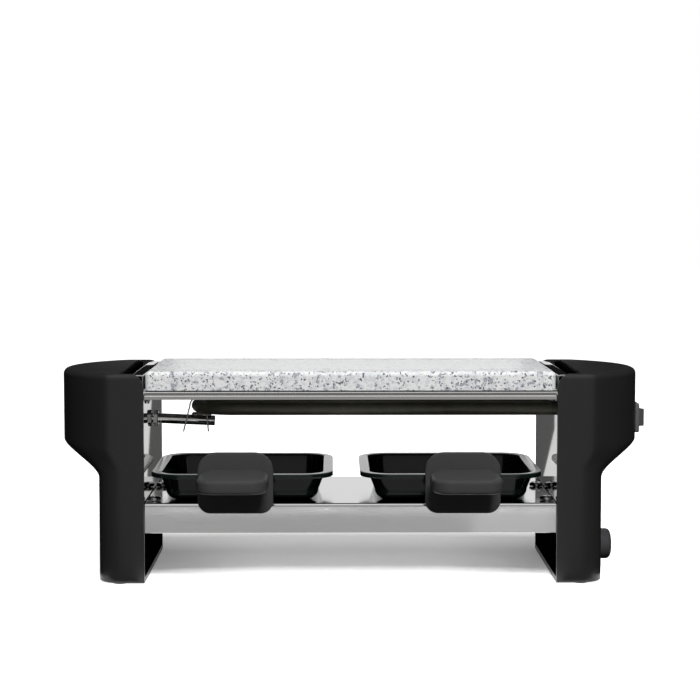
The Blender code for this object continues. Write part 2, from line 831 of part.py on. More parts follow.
def pan_levels():
    # Pairs of (inset from the rim's outline, height), from the underside round the rim to the bowl.
    low = tray_top + seat_gap
    curve = low + pan_floor_radius
    foot = pan_flange + pan_taper
    under = rim_height - pan_wall
    levels = []
    for step in range(pan_floor_steps + 1):
        turn = math.pi / 2 * (1 - step / pan_floor_steps)
        levels.append((foot + pan_floor_radius * (1 - math.cos(turn)), curve - pan_floor_radius * math.sin(turn)))
    levels += [(pan_flange, under), (pan_wall, under), (pan_wall, rim_height - pan_hem), (0, rim_height - pan_hem)]
    for step in range(bead_steps + 1):
        turn = math.pi / 2 * step / bead_steps
        levels.append((pan_wall * (1 - math.cos(turn)), under + pan_wall * math.sin(turn)))
    levels.append((pan_flange + pan_wall, rim_height))
    radius = pan_floor_radius - pan_wall
    for step in range(pan_floor_steps + 1):
        turn = math.pi / 2 * step / pan_floor_steps
        levels.append((foot + pan_floor_radius - radius * math.cos(turn), curve - radius * math.sin(turn)))
    return levels


def pan_centre(side):
    return side * pan_pitch / 2 + pan_shift


def pan(hand, side):
    rings = []
    for inset, z in pan_levels():
        corner = pan_corner - inset
        outline = rounded_rectangle(pan_half_width - inset, pan_half_depth - inset, corner, pan_corner_steps)
        rings.append([(x, y, z) for x, y in outline])
    made = loft(hand + "_pan", rings, pan_coating())
    made.location = (pan_centre(side), pan_front + pan_half_depth, 0)
    return made


def grip_outline():
    # Half of the grip's plan from its root to its rounded end, then mirrored.
    start = shield_front + shield_thickness / 2
    neck = shield_front - grip_length * grip_neck_share
    root = grip_root_width / 2
    end = grip_end_width / 2
    half = [(root, start), (root, shield_front), (end, neck)]
    centre = (end - grip_corner, grip_front + grip_corner)
    for step in range(edge_steps + 2):
        turn = -math.pi / 2 * step / (edge_steps + 1)
        half.append((centre[0] + grip_corner * math.cos(turn), centre[1] + grip_corner * math.sin(turn)))
    return half + [(-x, y) for x, y in reversed(half)]


def pan_handle(hand, side):
    offset = {"left": left_handle_offset, "right": right_handle_offset}[hand]
    centre_x = pan_centre(side) + side * offset
    middle_z = shield_low + shield_height / 2
    outline = rounded_rectangle(shield_width / 2, shield_height / 2, shield_corner, edge_steps + 1)
    outline = [(x, z + middle_z) for x, z in outline]
    handle = prism(hand + "_pan_handle", outline, "Y", shield_front, shield_back, handle_plastic())
    handle.location.x = centre_x
    grip = prism(hand + "_grip", grip_outline(), "Z", grip_low, grip_low + grip_thickness)
    grip.location.x = centre_x
    edges = grip.modifiers.new("edges", "BEVEL")
    edges.width = grip_edge_radius
    edges.segments = 2
    edges.limit_method = "ANGLE"
    join(handle, grip)
    half = tang_width / 2 + seat_gap
    low = grip_middle - tang_wall / 2 - seat_gap
    high = grip_middle + tang_wall / 2 + seat_gap
    slot = block(hand + "_slot_cutter", (-half, shield_front - tang_in_grip - seat_gap, low),
                 (half, shield_back + overrun, high))
    slot.location.x = centre_x
    cut(handle, slot)
    screw_y = shield_front - tang_in_grip * handle_screw_share
    bore = handle_screw_radius + screw_clearance
    hole = cylinders(hand + "_handle_hole_cutter", [(0, screw_y)], bore, "Z", grip_low - overrun,
                     low + seat_gap, small_steps)
    hole.location.x = centre_x
    cut(handle, hole)
    screw_low = grip_low - seat_gap
    shank = low - screw_low
    profile = mirrored(screw_profile(handle_screw_head, handle_screw_head_height, handle_screw_radius, shank))
    turned(hand + "_handle_screw", profile, (centre_x, screw_y, screw_low), "Z", small_steps, zinc_steel())
    pan_tang(hand, centre_x)
    return handle


def pan_tang(hand, centre_x):
    # Bent strip from the pan's front wall, behind the shield and up into the grip.
    wall_height = pan_height - pan_floor_radius - pan_wall
    slope = pan_taper / wall_height

    def pan_wall_y(z):
        return pan_front + pan_flange + (rim_height - pan_wall - z) * slope - seat_gap

    drop_front = shield_back + tang_drop_gap
    drop_back = drop_front + tang_wall
    run_top = tang_low + tang_wall
    tab_low = tang_low - tang_tab
    low = grip_middle - tang_wall / 2
    high = grip_middle + tang_wall / 2
    grip_end = shield_front - tang_in_grip
    outline = [(grip_end, low), (drop_front, low), (drop_front, tang_low), (pan_wall_y(tang_low) - tang_wall, tang_low),
               (pan_wall_y(tab_low) - tang_wall, tab_low), (pan_wall_y(tab_low), tab_low),
               (pan_wall_y(run_top), run_top), (drop_back, run_top), (drop_back, high), (grip_end, high)]
    half = tang_width / 2
    return prism(hand + "_pan_tang", outline, "X", centre_x - half, centre_x + half, zinc_steel())


def switch_body():
    # Flanged bezel and the body behind it, hollowed for the rocker.
    half_y = bezel_width / 2
    half_z = bezel_height / 2
    low_x = seat_x + seat_gap
    body = block("switch_body", (low_x, mid_depth - half_y, switch_height - half_z),
                 (bezel_face, mid_depth + half_y, switch_height + half_z), switch_plastic())
    half_y = switch_body_width / 2
    half_z = switch_body_height / 2
    join(body, block("switch_core", (switch_back_x, mid_depth - half_y, switch_height - half_z),
                     (low_x + bezel_thickness / 2, mid_depth + half_y, switch_height + half_z)))
    half_y = rocker_reach + rocker_gap
    half_z = rocker_height / 2 + rocker_gap
    deep = pivot_x - rocker_reach * math.sin(rocker_belly_angle + rocker_swing / 2) - rocker_gap
    cut(body, block("rocker_well_cutter", (deep, mid_depth - half_y, switch_height - half_z),
                    (bezel_face + overrun, mid_depth + half_y, switch_height + half_z)))
    return body


def switch_rocker():
    # Cap with ends turned about the pivot; at rest its front tip stands out.
    outline = []
    for step in range(rocker_end_steps + 1):
        turn = -rocker_belly_angle + (rocker_belly_angle + tip_angle) * step / rocker_end_steps
        outline.append((rocker_reach * math.sin(turn), rocker_reach * math.cos(turn)))
    outline.append((rocker_reach * math.sin(tip_angle) - rocker_dip, 0))
    outline += [(x, -y) for x, y in reversed(outline[:-1])]
    half = rocker_height / 2
    rocker = prism("switch_rocker", outline, "Z", -half, half, rocker_plastic())
    rocker.location = (pivot_x, mid_depth, switch_height)
    rocker.rotation_euler = (0, 0, rocker_swing / 2)
    return rocker


def switch_tab_y(sign):
    return mid_depth + sign * tab_pitch / 2


def switch_terminals():
    for end, sign in (("front", -1), ("back", 1)):
        y = switch_tab_y(sign)
        block(end + "_switch_terminal", (tab_end_x, y - tab_wall / 2, switch_height - tab_width / 2),
              (switch_back_x - seat_gap, y + tab_wall / 2, switch_height + tab_width / 2), brass())


def cord_gland():
    # Round nut outside the leg and a hollow shank through its wall.
    face = seat_gap
    profile = [(-gland_tail, gland_bore), (-gland_tail, gland_shank_radius), (face, gland_shank_radius),
               (face, gland_radius), (gland_proud - gland_round, gland_radius)]
    for step in range(1, edge_steps + 1):
        turn = math.pi / 2 * step / edge_steps
        profile.append((gland_proud - gland_round + gland_round * math.sin(turn),
                        gland_radius - gland_round + gland_round * math.cos(turn)))
    profile.append((gland_proud, gland_bore))
    return turned("cord_gland", profile, (leg_outer, mid_depth, gland_height), "X", round_steps,
                  gland_plastic(), closed=True)


def gland_lock_nut():
    bore = gland_shank_radius + seat_gap
    profile = [(-lock_nut_length, bore), (-lock_nut_length, lock_nut_radius), (0, lock_nut_radius), (0, bore)]
    return turned("gland_lock_nut", profile, (leg_inner - seat_gap, mid_depth, gland_height), "X", round_steps,
                  gland_plastic(), closed=True)


def block_hole_places():
    start = depth - block_inset - block_length
    x = panel_outer + seat_gap + block_depth / 2
    return [(x, start + block_length * share) for share in (1 / 6, 1 / 2, 5 / 6)]


def terminal_block():
    start = depth - block_inset - block_length
    low_x = panel_outer + seat_gap
    body = block("terminal_block", (low_x, start, block_low),
                 (low_x + block_depth, start + block_length, block_low + block_height), block_ceramic())
    drill(body, "block_hole_cutter", block_hole_places(), block_hole, "Z", block_low - overrun,
          block_low + block_height + overrun)
    return body


def bezier(start, start_way, end, end_way):
    # Points of a cubic curve that leaves and meets its ends along the given ways.
    anchors = [Vector(start), Vector(start) + Vector(start_way) * wire_bend,
               Vector(end) + Vector(end_way) * wire_bend, Vector(end)]
    points = []
    for step in range(wire_steps + 1):
        share = step / wire_steps
        rest = 1 - share
        weights = (rest ** 3, 3 * rest ** 2 * share, 3 * rest * share ** 2, share ** 3)
        points.append(sum((anchor * weight for anchor, weight in zip(anchors, weights)), Vector()))
    return points


def fuse_x():
    return bowed_face(element_back) - wall - fuse_room


def thermal_fuse():
    return cylinders("thermal_fuse", [(fuse_x(), element_back)], fuse_radius, "Z", fuse_low, fuse_low + fuse_length,
                     small_steps, zinc_steel())


def wiring():
    first, second, third = block_hole_places()
    block_top = block_low + block_height - wire_dip
    up = (0, 0, 1)
    down = (0, 0, -1)
    inward = (-1, 0, 0)
    outward = (1, 0, 0)
    pin_end = element_end + 2 * seat_gap + pin_length + wire_radius / 2
    tab_reach = tab_end_x - seat_gap
    bent_tube("supply_wire", bezier((*first, block_top), up, (tab_reach, switch_tab_y(1), switch_height), inward),
              wire_radius, 2, wire_sleeve("supply_sleeve", (0.25, 0.1, 0.04)))
    bent_tube("switched_wire", bezier((tab_reach, switch_tab_y(-1), switch_height), inward,
                                      (pin_end, element_front, element_height), outward),
              wire_radius, 2, wire_sleeve("switched_sleeve", (0.25, 0.1, 0.04)))
    bent_tube("neutral_wire", bezier((*second, block_top), up, (fuse_x(), element_back, fuse_low - seat_gap), down),
              wire_radius, 2, wire_sleeve("neutral_sleeve", (0.03, 0.12, 0.4)))
    fuse_top = (fuse_x(), element_back, fuse_low + fuse_length + seat_gap)
    bent_tube("fuse_lead", bezier(fuse_top, up, (pin_end, element_back, element_height), outward),
              wire_radius / 2, 2, wire_sleeve("fuse_lead_wire", (0.6, 0.6, 0.6)))
    earth_start = (plate_outer + seat_gap + 2 * screw_head_height, depth - earth_inset, earth_height)
    bent_tube("earth_wire", bezier(earth_start, outward, (*third, block_top), up),
              wire_radius, 2, wire_sleeve("earth_sleeve", (0.3, 0.55, 0.05)))


def earth_screw():
    start = plate_outer + seat_gap
    return cylinders("earth_screw", [(depth - earth_inset, earth_height)], screw_head_radius, "X", start,
                     start + screw_head_height, 6, brass())


def rubber_feet(hand, side):
    pad_top = foot_height - seat_gap
    profile = [(0, 0), (0, foot_radius), (pad_top, foot_radius), (pad_top, foot_stem_radius),
               (pad_top + foot_stem, foot_stem_radius), (pad_top + foot_stem, 0)]
    for end, y in ends(foot_setback):
        origin = (side * (inner_half + foot_inset), y, 0)
        turned(f"{hand}_{end}_foot", profile, origin, "Z", small_steps, foot_rubber())


for hand, side in (("left", -1), ("right", 1)):
    end_housing(hand, side)
    inner_cover(hand, side)
    side_plate(hand, side)
    plate_and_cover_screws(hand, side)
    tray_screws(hand, side)
    rubber_feet(hand, side)
    pan(hand, side)
    pan_handle(hand, side)
rail("front_rail", True)
rail("back_rail", False)
stone_plate()
tray()
heating_element()
element_ends()
support_rod()
rod_nuts()
element_saddle()
element_clip()
switch_body()
switch_rocker()
switch_terminals()
cord_gland()
gland_lock_nut()
terminal_block()
thermal_fuse()
wiring()
earth_screw()
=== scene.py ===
import math

import bmesh
import bpy
import numpy as np
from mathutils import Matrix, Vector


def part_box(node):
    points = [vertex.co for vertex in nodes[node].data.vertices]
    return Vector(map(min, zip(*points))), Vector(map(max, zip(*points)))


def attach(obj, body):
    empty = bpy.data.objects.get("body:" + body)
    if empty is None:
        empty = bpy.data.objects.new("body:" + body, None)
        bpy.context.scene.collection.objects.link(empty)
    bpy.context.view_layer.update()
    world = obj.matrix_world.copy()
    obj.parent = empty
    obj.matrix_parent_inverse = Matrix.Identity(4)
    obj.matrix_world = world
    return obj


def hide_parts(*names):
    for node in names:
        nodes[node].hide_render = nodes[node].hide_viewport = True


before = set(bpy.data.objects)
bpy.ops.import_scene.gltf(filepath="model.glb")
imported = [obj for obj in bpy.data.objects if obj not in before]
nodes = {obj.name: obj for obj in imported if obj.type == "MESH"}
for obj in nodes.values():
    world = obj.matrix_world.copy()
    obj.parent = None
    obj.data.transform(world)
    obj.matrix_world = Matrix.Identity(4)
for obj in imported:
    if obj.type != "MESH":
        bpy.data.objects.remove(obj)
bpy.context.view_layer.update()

# everything below is written in the grill's own frame (x from its middle, y back from the
# housings' front, z up from the table) and moved once by this shift
trayLow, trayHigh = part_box("tray")
trayFront = 0.0004
shift = np.array([(trayLow[0] + trayHigh[0]) / 2, trayLow[1] - trayFront, 0.0])
innerHalf = 0.105
depth = 0.100
midDepth = depth / 2
spare = 0.002  # how far a cutter stands out past the surface it cuts
hands = (("left", -1), ("right", 1))
corners = ("left_front", "left_back", "right_front", "right_back")


def report(stage):
    # one line of progress
    print("raclette grill:", stage)


report("frame loaded")


# mesh helpers

def addObject(name, mesh):
    # an object for the mesh, in the scene's own collection
    made = bpy.data.objects.new(name, mesh)
    bpy.context.collection.objects.link(made)
    return made


def joinPoints(mesh, outward):
    # points at one place become one; the faces can be turned outward too
    bm = bmesh.new()
    bm.from_mesh(mesh)
    bmesh.ops.remove_doubles(bm, verts=bm.verts, dist=1e-6)
    if outward:
        bmesh.ops.recalc_face_normals(bm, faces=bm.faces)
    bm.to_mesh(mesh)
    bm.free()


def shadeRound(piece, sharpAngle):
    # smooth shading, with a hard edge where two faces meet at more than the angle
    piece.data.shade_smooth()
    piece.data.set_sharp_from_angle(angle=math.radians(sharpAngle))


def makeObject(name, points, faces, sharpAngle=35):
    # points in the grill's frame, faces as lists of indices; outward normals, smooth where it is round
    mesh = bpy.data.meshes.new(name)
    mesh.from_pydata((np.asarray(points, float) + shift).tolist(), [], faces)
    joinPoints(mesh, True)
    made = addObject(name, mesh)
    shadeRound(made, sharpAngle)
    return made


def loft(name, rings, closeRows=False, sharpAngle=35):
    # rings is (rows, columns, 3), each row one closed loop: quads between neighbouring rows, and
    # one polygon over each end, or the last row joined to the first
    rows, columns = rings.shape[:2]
    index = np.arange(rows * columns).reshape(rows, columns)
    low, high = (index, np.roll(index, -1, 0)) if closeRows else (index[:-1], index[1:])
    quads = np.stack([low, np.roll(low, -1, 1), np.roll(high, -1, 1), high], -1).reshape(-1, 4)
    faces = quads.tolist()
    if not closeRows:
        faces += [index[0][::-1].tolist(), index[-1].tolist()]
    return makeObject(name, rings.reshape(-1, 3), faces, sharpAngle)


def sweepProfile(name, outline, axis, low, high, sharpAngle=35):
    # one closed outline (n, 2) carried straight along an axis
    outline = np.asarray(outline, float)
    rings = np.empty((2, len(outline), 3))
    rings[..., [i for i in range(3) if i != axis]] = outline
    rings[..., axis] = np.array([low, high])[:, None]
    return loft(name, rings, sharpAngle=sharpAngle)


def arc(centre, radius, start, stop, count):
    # count points on a circle, from one angle to another
    turn = np.linspace(start, stop, count)
    return np.column_stack([centre[0] + radius * np.cos(turn), centre[1] + radius * np.sin(turn)])


def turned(profile, steps, hexagon=False):
    # (along, radius) pairs turned round x; a hexagon's side lies at 1/cos of the angle from its middle
    turn = np.linspace(0, 2 * np.pi, steps, endpoint=False)
    reach = 1 / np.cos((turn + np.pi / 6) % (np.pi / 3) - np.pi / 6) if hexagon else np.ones(steps)
    circle = np.column_stack([np.zeros(steps), reach * np.cos(turn), reach * np.sin(turn)])
    along, radius = np.asarray(profile, float).T[:, :, None, None]
    return along * (1, 0, 0) + radius * circle


def tube(name, path, radius, steps):
    # circle carried along a path: side and lift are square to the tangent at every point
    tangent = np.gradient(path, axis=0)
    tangent /= np.linalg.norm(tangent, axis=1)[:, None]
    normal = np.array([0.0, 1.0, 0.0]) if abs(tangent[0][1]) < 0.9 else np.array([1.0, 0.0, 0.0])
    side = np.empty_like(tangent)
    for place, direction in enumerate(tangent):
        normal = normal - direction * (normal @ direction)
        normal = normal / np.linalg.norm(normal)
        side[place] = normal
    lift = np.cross(tangent, side)
    turn = np.linspace(0, 2 * np.pi, steps, endpoint=False)
    rings = path[:, None] + radius * (np.cos(turn)[None, :, None] * side[:, None]
                                      + np.sin(turn)[None, :, None] * lift[:, None])
    return loft(name, rings, sharpAngle=50)


def sheetOutline(path, wall, radius, steps):
    # a folded strip's section: every inner corner of the path becomes an arc, and the line is moved
    # half a wall to either side of its heading
    path = np.asarray(path, float)
    legs = np.diff(path, axis=0)
    angles = np.arctan2(legs[:, 1], legs[:, 0])
    points, headings = [path[:1]], [angles[:1]]
    for corner, before, after in zip(path[1:-1], angles, angles[1:]):
        turn = (after - before + np.pi) % (2 * np.pi) - np.pi
        reach = radius * math.tan(abs(turn) / 2)
        hand = math.copysign(1, turn)
        start = corner - reach * np.array([math.cos(before), math.sin(before)])
        centre = start + radius * hand * np.array([-math.sin(before), math.cos(before)])
        heading = before + turn * np.linspace(0, 1, steps + 1)
        points.append(centre + radius * hand * np.stack([np.sin(heading), -np.cos(heading)], 1))
        headings.append(heading)
    points = np.concatenate([*points, path[-1:]])
    heading = np.concatenate([*headings, angles[-1:]])
    normal = np.stack([-np.sin(heading), np.cos(heading)], 1) * wall / 2
    return np.concatenate([points + normal, (points - normal)[::-1]])


def roundedRectangle(halfX, halfY, radius, steps, straight):
    # four quarter arcs joined by straight sides of evenly spaced points
    quarter = np.arange(4)[:, None]
    turn = np.pi / 2 * (quarter + np.linspace(0, 1, steps + 1)[None])
    sign = np.array([[1, 1], [-1, 1], [-1, -1], [1, -1]])
    centre = sign * (np.array([halfX, halfY]) - radius)
    arcs = centre[:, None] + radius * np.stack([np.cos(turn), np.sin(turn)], -1)
    share = np.linspace(0, 1, straight + 1)[1:-1][None, :, None]
    run = arcs[:, -1:] * (1 - share) + np.roll(arcs, -1, 0)[:, :1] * share
    return np.concatenate([arcs, run], 1).reshape(-1, 2)


def quarterRound(radius, steps):
    # (inset, rise) pairs that turn a vertical wall into a flat top
    turn = np.linspace(0, np.pi / 2, steps + 1)
    return radius * (1 - np.cos(turn)), radius * np.sin(turn)


def roundedLevels(low, high, lowRound, highRound, steps):
    # insets and places of the stacked outlines of a slab with both edges rounded
    lowIn, lowUp = quarterRound(lowRound, steps)
    highIn, highUp = quarterRound(highRound, steps)
    places = np.concatenate([low + lowRound - lowUp[::-1], high - highRound + highUp])
    return zip(np.concatenate([lowIn[::-1], highIn]), places)


def atHeight(outline, height):
    # a flat outline (n, 2) lifted to one height
    return np.column_stack([outline, np.full(len(outline), height)])


def slab(name, outlineAt, low, high, lowRound, highRound, steps):
    # stacked outlines with both edges rounded; outlineAt(inset) gives one loop
    levels = roundedLevels(low, high, lowRound, highRound, steps)
    return loft(name, np.array([atHeight(outlineAt(inset), height) for inset, height in levels]))


def softenEdges(piece, width, segments=2, angle=40):
    # a bevel of this width on edges sharper than the angle
    edges = piece.modifiers.new("softEdges", "BEVEL")
    edges.width = width
    edges.segments = segments
    edges.limit_method = "ANGLE"
    edges.angle_limit = math.radians(angle)


def flattenShading(piece):
    # large flats keep their own normal beside the small faces of a fold
    even = piece.modifiers.new("flattenShading", "WEIGHTED_NORMAL")
    even.mode = "FACE_AREA"
    even.keep_sharp = True


def carve(piece, cutters, sharpAngle, operation="DIFFERENCE"):
    # cuts or joins the helpers, keeps the result as plain mesh and removes the helpers
    for cutter in cutters:
        change = piece.modifiers.new("carve", "BOOLEAN")
        change.operation = operation
        change.solver = "EXACT"
        change.object = cutter
    bpy.context.view_layer.update()
    solid = piece.evaluated_get(bpy.context.evaluated_depsgraph_get())
    mesh = bpy.data.meshes.new_from_object(solid)
    piece.modifiers.clear()
    piece.data = mesh
    for cutter in cutters:
        bpy.data.objects.remove(cutter)
    shadeRound(piece, sharpAngle)


def boxPiece(name, low, high):
    # a box between two opposite corners, given in any order
    low, high = np.minimum(low, high), np.maximum(low, high)
    outline = np.array([[low[0], low[1]], [high[0], low[1]], [high[0], high[1]], [low[0], high[1]]])
    return sweepProfile(name, outline, 2, low[2], high[2])


# materials

def feed(socket, source):
    # another socket feeds by a link, anything else is the input's constant
    if isinstance(source, bpy.types.NodeSocket):
        socket.id_data.links.new(source, socket)
    else:
        socket.default_value = source


def addNode(tree, kind, sources=None, **settings):
    # sources gives an input, by name or number, its constant or the socket that feeds it; the nodes
    # stand in one row, in the order they are made
    node = tree.nodes.new(kind if kind.startswith("NodeGroup") else "ShaderNode" + kind)
    node.location = (200 * len(tree.nodes) - 5000, -400)
    for key, value in settings.items():
        setattr(node, key, value)
    for label, source in (sources or {}).items():
        feed(node.inputs[label], source)
    return node


def mathNode(tree, operation, *sources):
    # one sum, on constants or sockets
    return addNode(tree, "Math", dict(enumerate(sources)), operation=operation).outputs[0]


def rangeNode(tree, source, low, high, bounds=(0.0, 1.0)):
    # the source's span between the bounds becomes low to high
    sources = {"Value": source, "From Min": bounds[0], "From Max": bounds[1], "To Min": low, "To Max": high}
    return addNode(tree, "MapRange", sources).outputs[0]


def mixColours(tree, factor, first, second):
    # first where the factor is 0, second where it is 1; each a colour or a socket
    first, second = ((*paint, 1) if isinstance(paint, tuple) else paint for paint in (first, second))
    return addNode(tree, "Mix", {0: factor, 6: first, 7: second}, data_type="RGBA").outputs[2]


def newGroup(name, scales, outputs):
    # a node group with one scale for each noise; gives it with its scales and object coordinates
    group = bpy.data.node_groups.new(name, "ShaderNodeTree")
    for side, labels in (("INPUT", scales), ("OUTPUT", outputs)):
        for label in labels:
            group.interface.new_socket(label, in_out=side, socket_type="NodeSocketFloat")
    return group, addNode(group, "NodeGroupInput").outputs, addNode(group, "TexCoord").outputs["Object"]


def endGroup(group, **sources):
    # the sockets that leave the group
    addNode(group, "NodeGroupOutput", sources)
    return group


def noiseNode(tree, coords, scale, detail, roughness=0.5, distortion=0.0):
    # layered noise on object coordinates
    sources = {"Vector": coords, "Scale": scale, "Detail": detail, "Roughness": roughness,
               "Distortion": distortion}
    return addNode(tree, "TexNoise", sources).outputs


def mouldedGrainGroup():
    # fine spark-eroded texture of a moulding (noise plus cell distance) and a slow drift in its sheen
    group, scales, coords = newGroup("mouldedGrain", ["Grain Scale", "Drift Scale"], ["Height", "Drift"])
    grain = noiseNode(group, coords, scales["Grain Scale"], 2.0, 0.6)["Fac"]
    pits = addNode(group, "TexVoronoi", {"Vector": coords, "Scale": scales["Grain Scale"]})
    drift = noiseNode(group, coords, scales["Drift Scale"], 3.0)["Fac"]
    return endGroup(group, Height=mathNode(group, "ADD", grain, pits.outputs["Distance"]), Drift=drift)


def rolledGrainGroup():
    # rolling lines of sheet steel, noise drawn out along x, with slow smudges from handling
    group, scales, coords = newGroup("rolledGrain", ["Line Scale", "Smudge Scale"], ["Lines", "Smudges"])
    stretch = addNode(group, "Mapping", {"Vector": coords, "Scale": (0.02, 1.0, 1.0)}).outputs["Vector"]
    lines = noiseNode(group, stretch, scales["Line Scale"], 3.0, 0.65)["Fac"]
    smudges = noiseNode(group, coords, scales["Smudge Scale"], 4.0, 0.55, 0.6)["Fac"]
    return endGroup(group, Lines=lines, Smudges=smudges)


# the masks that drive colour, roughness and bump in each kind of grain
grains = {
    "moulded": {"group": mouldedGrainGroup(), "scales": ("Grain Scale", "Drift Scale"),
                "masks": ("Drift", "Drift", "Height"), "bounds": (0.0, 1.0), "bumpDepth": 0.0001},
    "rolled": {"group": rolledGrainGroup(), "scales": ("Line Scale", "Smudge Scale"),
               "masks": ("Lines", "Smudges", "Lines"), "bounds": (0.3, 0.7), "bumpDepth": 0.00005},
}


def newMaterial(name, constants):
    # a Principled material with these constants on its shader; gives it with its tree and the
    # shader's inputs
    made = bpy.data.materials.new(name)
    made.use_nodes = True
    shader = made.node_tree.nodes["Principled BSDF"].inputs
    for label, value in constants.items():
        shader[label].default_value = value
    return made, made.node_tree, shader


def grainOutputs(tree, kind, scales):
    # the outputs of one kind of grain at these scales
    sources = dict(zip(grains[kind]["scales"], scales))
    return addNode(tree, "Group", sources, node_tree=grains[kind]["group"]).outputs


def feedBump(tree, source, strength, distance, shader):
    # the source's height tilts the shader's normal
    sources = {"Height": source, "Strength": strength, "Distance": distance}
    feed(shader["Normal"], addNode(tree, "Bump", sources).outputs["Normal"])


def grainMaterial(name, kind, scales, colours, rough, bump, constants):
    # the grain's masks mix two colours, move the roughness between two levels and drive the bump
    made, tree, shader = newMaterial(name, constants)
    outputs, grain = grainOutputs(tree, kind, scales), grains[kind]
    colourMask, roughMask, bumpMask = (outputs[mask] for mask in grain["masks"])
    feed(shader["Base Color"], mixColours(tree, colourMask, *colours))
    feed(shader["Roughness"], rangeNode(tree, roughMask, *rough, grain["bounds"]))
    feedBump(tree, bumpMask, bump, grain["bumpDepth"], shader)
    return made


def mouldedPlastic(name, colour, roughness, specular=0.35, grainScale=2600.0, bump=0.12, tint=1.25):
    # the colour drifts up to tint times lighter, the roughness from 0.05 below to 0.06 above its level
    lighter = tuple(min(1.0, part * tint) for part in colour)
    return grainMaterial(name, "moulded", (grainScale, 24.0), (colour, lighter),
                         (roughness - 0.05, roughness + 0.06), bump, {"Specular IOR Level": specular})


def rolledSteel(name, colour, roughness, spread=0.05, bump=0.05, lineScale=900.0, grazing=1.0):
    # the lines are a tenth darker, smudges spread the roughness, and grazing is how much of a
    # grazing reflection comes back
    darker = tuple(part * 0.9 for part in colour)
    return grainMaterial(name, "rolled", (lineScale, 28.0), (darker, colour),
                         (roughness - spread / 2, roughness + spread), bump,
                         {"Metallic": 1.0, "Specular Tint": (grazing, grazing, grazing, 1)})


def graniteMaterial():
    # crystals are cells of a warped Voronoi; a cell's random value, leaned on by a slow noise, picks
    # its mineral, and some cells of a finer Voronoi are dark flecks. Inside a speckled rim the cooking
    # face is painted plain and pale, a painted sheen: the fade grows with the distance from the nearest edge
    look = {
        "crystalScale": 720.0, "fleckScale": 1350.0, "warpScale": 520.0, "clusterScale": 150.0,
        "warp": 0.001, "lean": 0.75, "pickBounds": (0.12, 1.62), "fleckBounds": (0.07, 0.09),
        "paintedSheenFade": 0.72, "rim": 0.018, "half": (0.1046, 0.046), "rough": (0.35, 0.55), "bump": 0.12,
        "bumpDepth": 0.0001, "quartz": (0.52, 0.53, 0.545), "feldspar": (0.615, 0.615, 0.61),
        "grey": (0.29, 0.305, 0.33), "darkGrey": (0.08, 0.085, 0.095), "top": (0.62, 0.62, 0.62),
        "stops": ((0.0, "darkGrey"), (0.11, "grey"), (0.24, "quartz"), (0.52, "feldspar")),
    }
    made, tree, shader = newMaterial("graniteWithPaintedSheen", {"Specular IOR Level": 0.12})
    coords = addNode(tree, "TexCoord").outputs["Object"]

    def vectorNode(operation, sources):
        return addNode(tree, "VectorMath", sources, operation=operation).outputs[0]

    def cells(scale):
        cell = addNode(tree, "TexVoronoi", {"Vector": warped, "Scale": scale}).outputs
        return addNode(tree, "SeparateColor", {0: cell["Color"]}).outputs, cell["Distance"]

    centred = vectorNode("SUBTRACT", {0: noiseNode(tree, coords, look["warpScale"], 2.0)["Color"],
                                      1: (0.5, 0.5, 0.5)})
    pushed = vectorNode("SCALE", {0: centred, "Scale": look["warp"] * 2})
    warped = vectorNode("ADD", {0: coords, 1: pushed})
    crystals, _ = cells(look["crystalScale"])
    flecks, fleckDistance = cells(look["fleckScale"])
    clusters = noiseNode(tree, coords, look["clusterScale"], 3.0)["Fac"]
    leaned = mathNode(tree, "MULTIPLY_ADD", clusters, look["lean"], crystals[0])
    ramp = addNode(tree, "ValToRGB", {"Fac": rangeNode(tree, leaned, 0.0, 1.0, look["pickBounds"])})
    ramp.color_ramp.interpolation = "CONSTANT"
    stops = ramp.color_ramp.elements
    stops.remove(stops[1])
    for place, mineral in look["stops"]:
        stop = stops.new(place) if place else stops[0]
        stop.color = (*look[mineral], 1)
    fleckMask = rangeNode(tree, flecks[1], 1.0, 0.0, look["fleckBounds"])
    speckled = mixColours(tree, fleckMask, ramp.outputs["Color"], look["darkGrey"])
    axes = addNode(tree, "SeparateXYZ", {0: coords}).outputs
    rooms = []
    for half, place, middle in zip(look["half"], axes, (shift[0], midDepth + shift[1])):
        reach = mathNode(tree, "ABSOLUTE", mathNode(tree, "SUBTRACT", place, middle))
        rooms.append(mathNode(tree, "SUBTRACT", half, reach))
    ragged = mathNode(tree, "MULTIPLY_ADD", clusters, look["rim"], mathNode(tree, "MINIMUM", *rooms))
    # painted sheen: away from the edges the stone fades to a plain pale grey
    paintedSheen = rangeNode(tree, ragged, 0.0, look["paintedSheenFade"], (0.6 * look["rim"], 1.7 * look["rim"]))
    feed(shader["Base Color"], mixColours(tree, paintedSheen, speckled, look["top"]))
    feed(shader["Roughness"], rangeNode(tree, crystals[1], *look["rough"]))
    feedBump(tree, fleckDistance, look["bump"], look["bumpDepth"], shader)
    return made


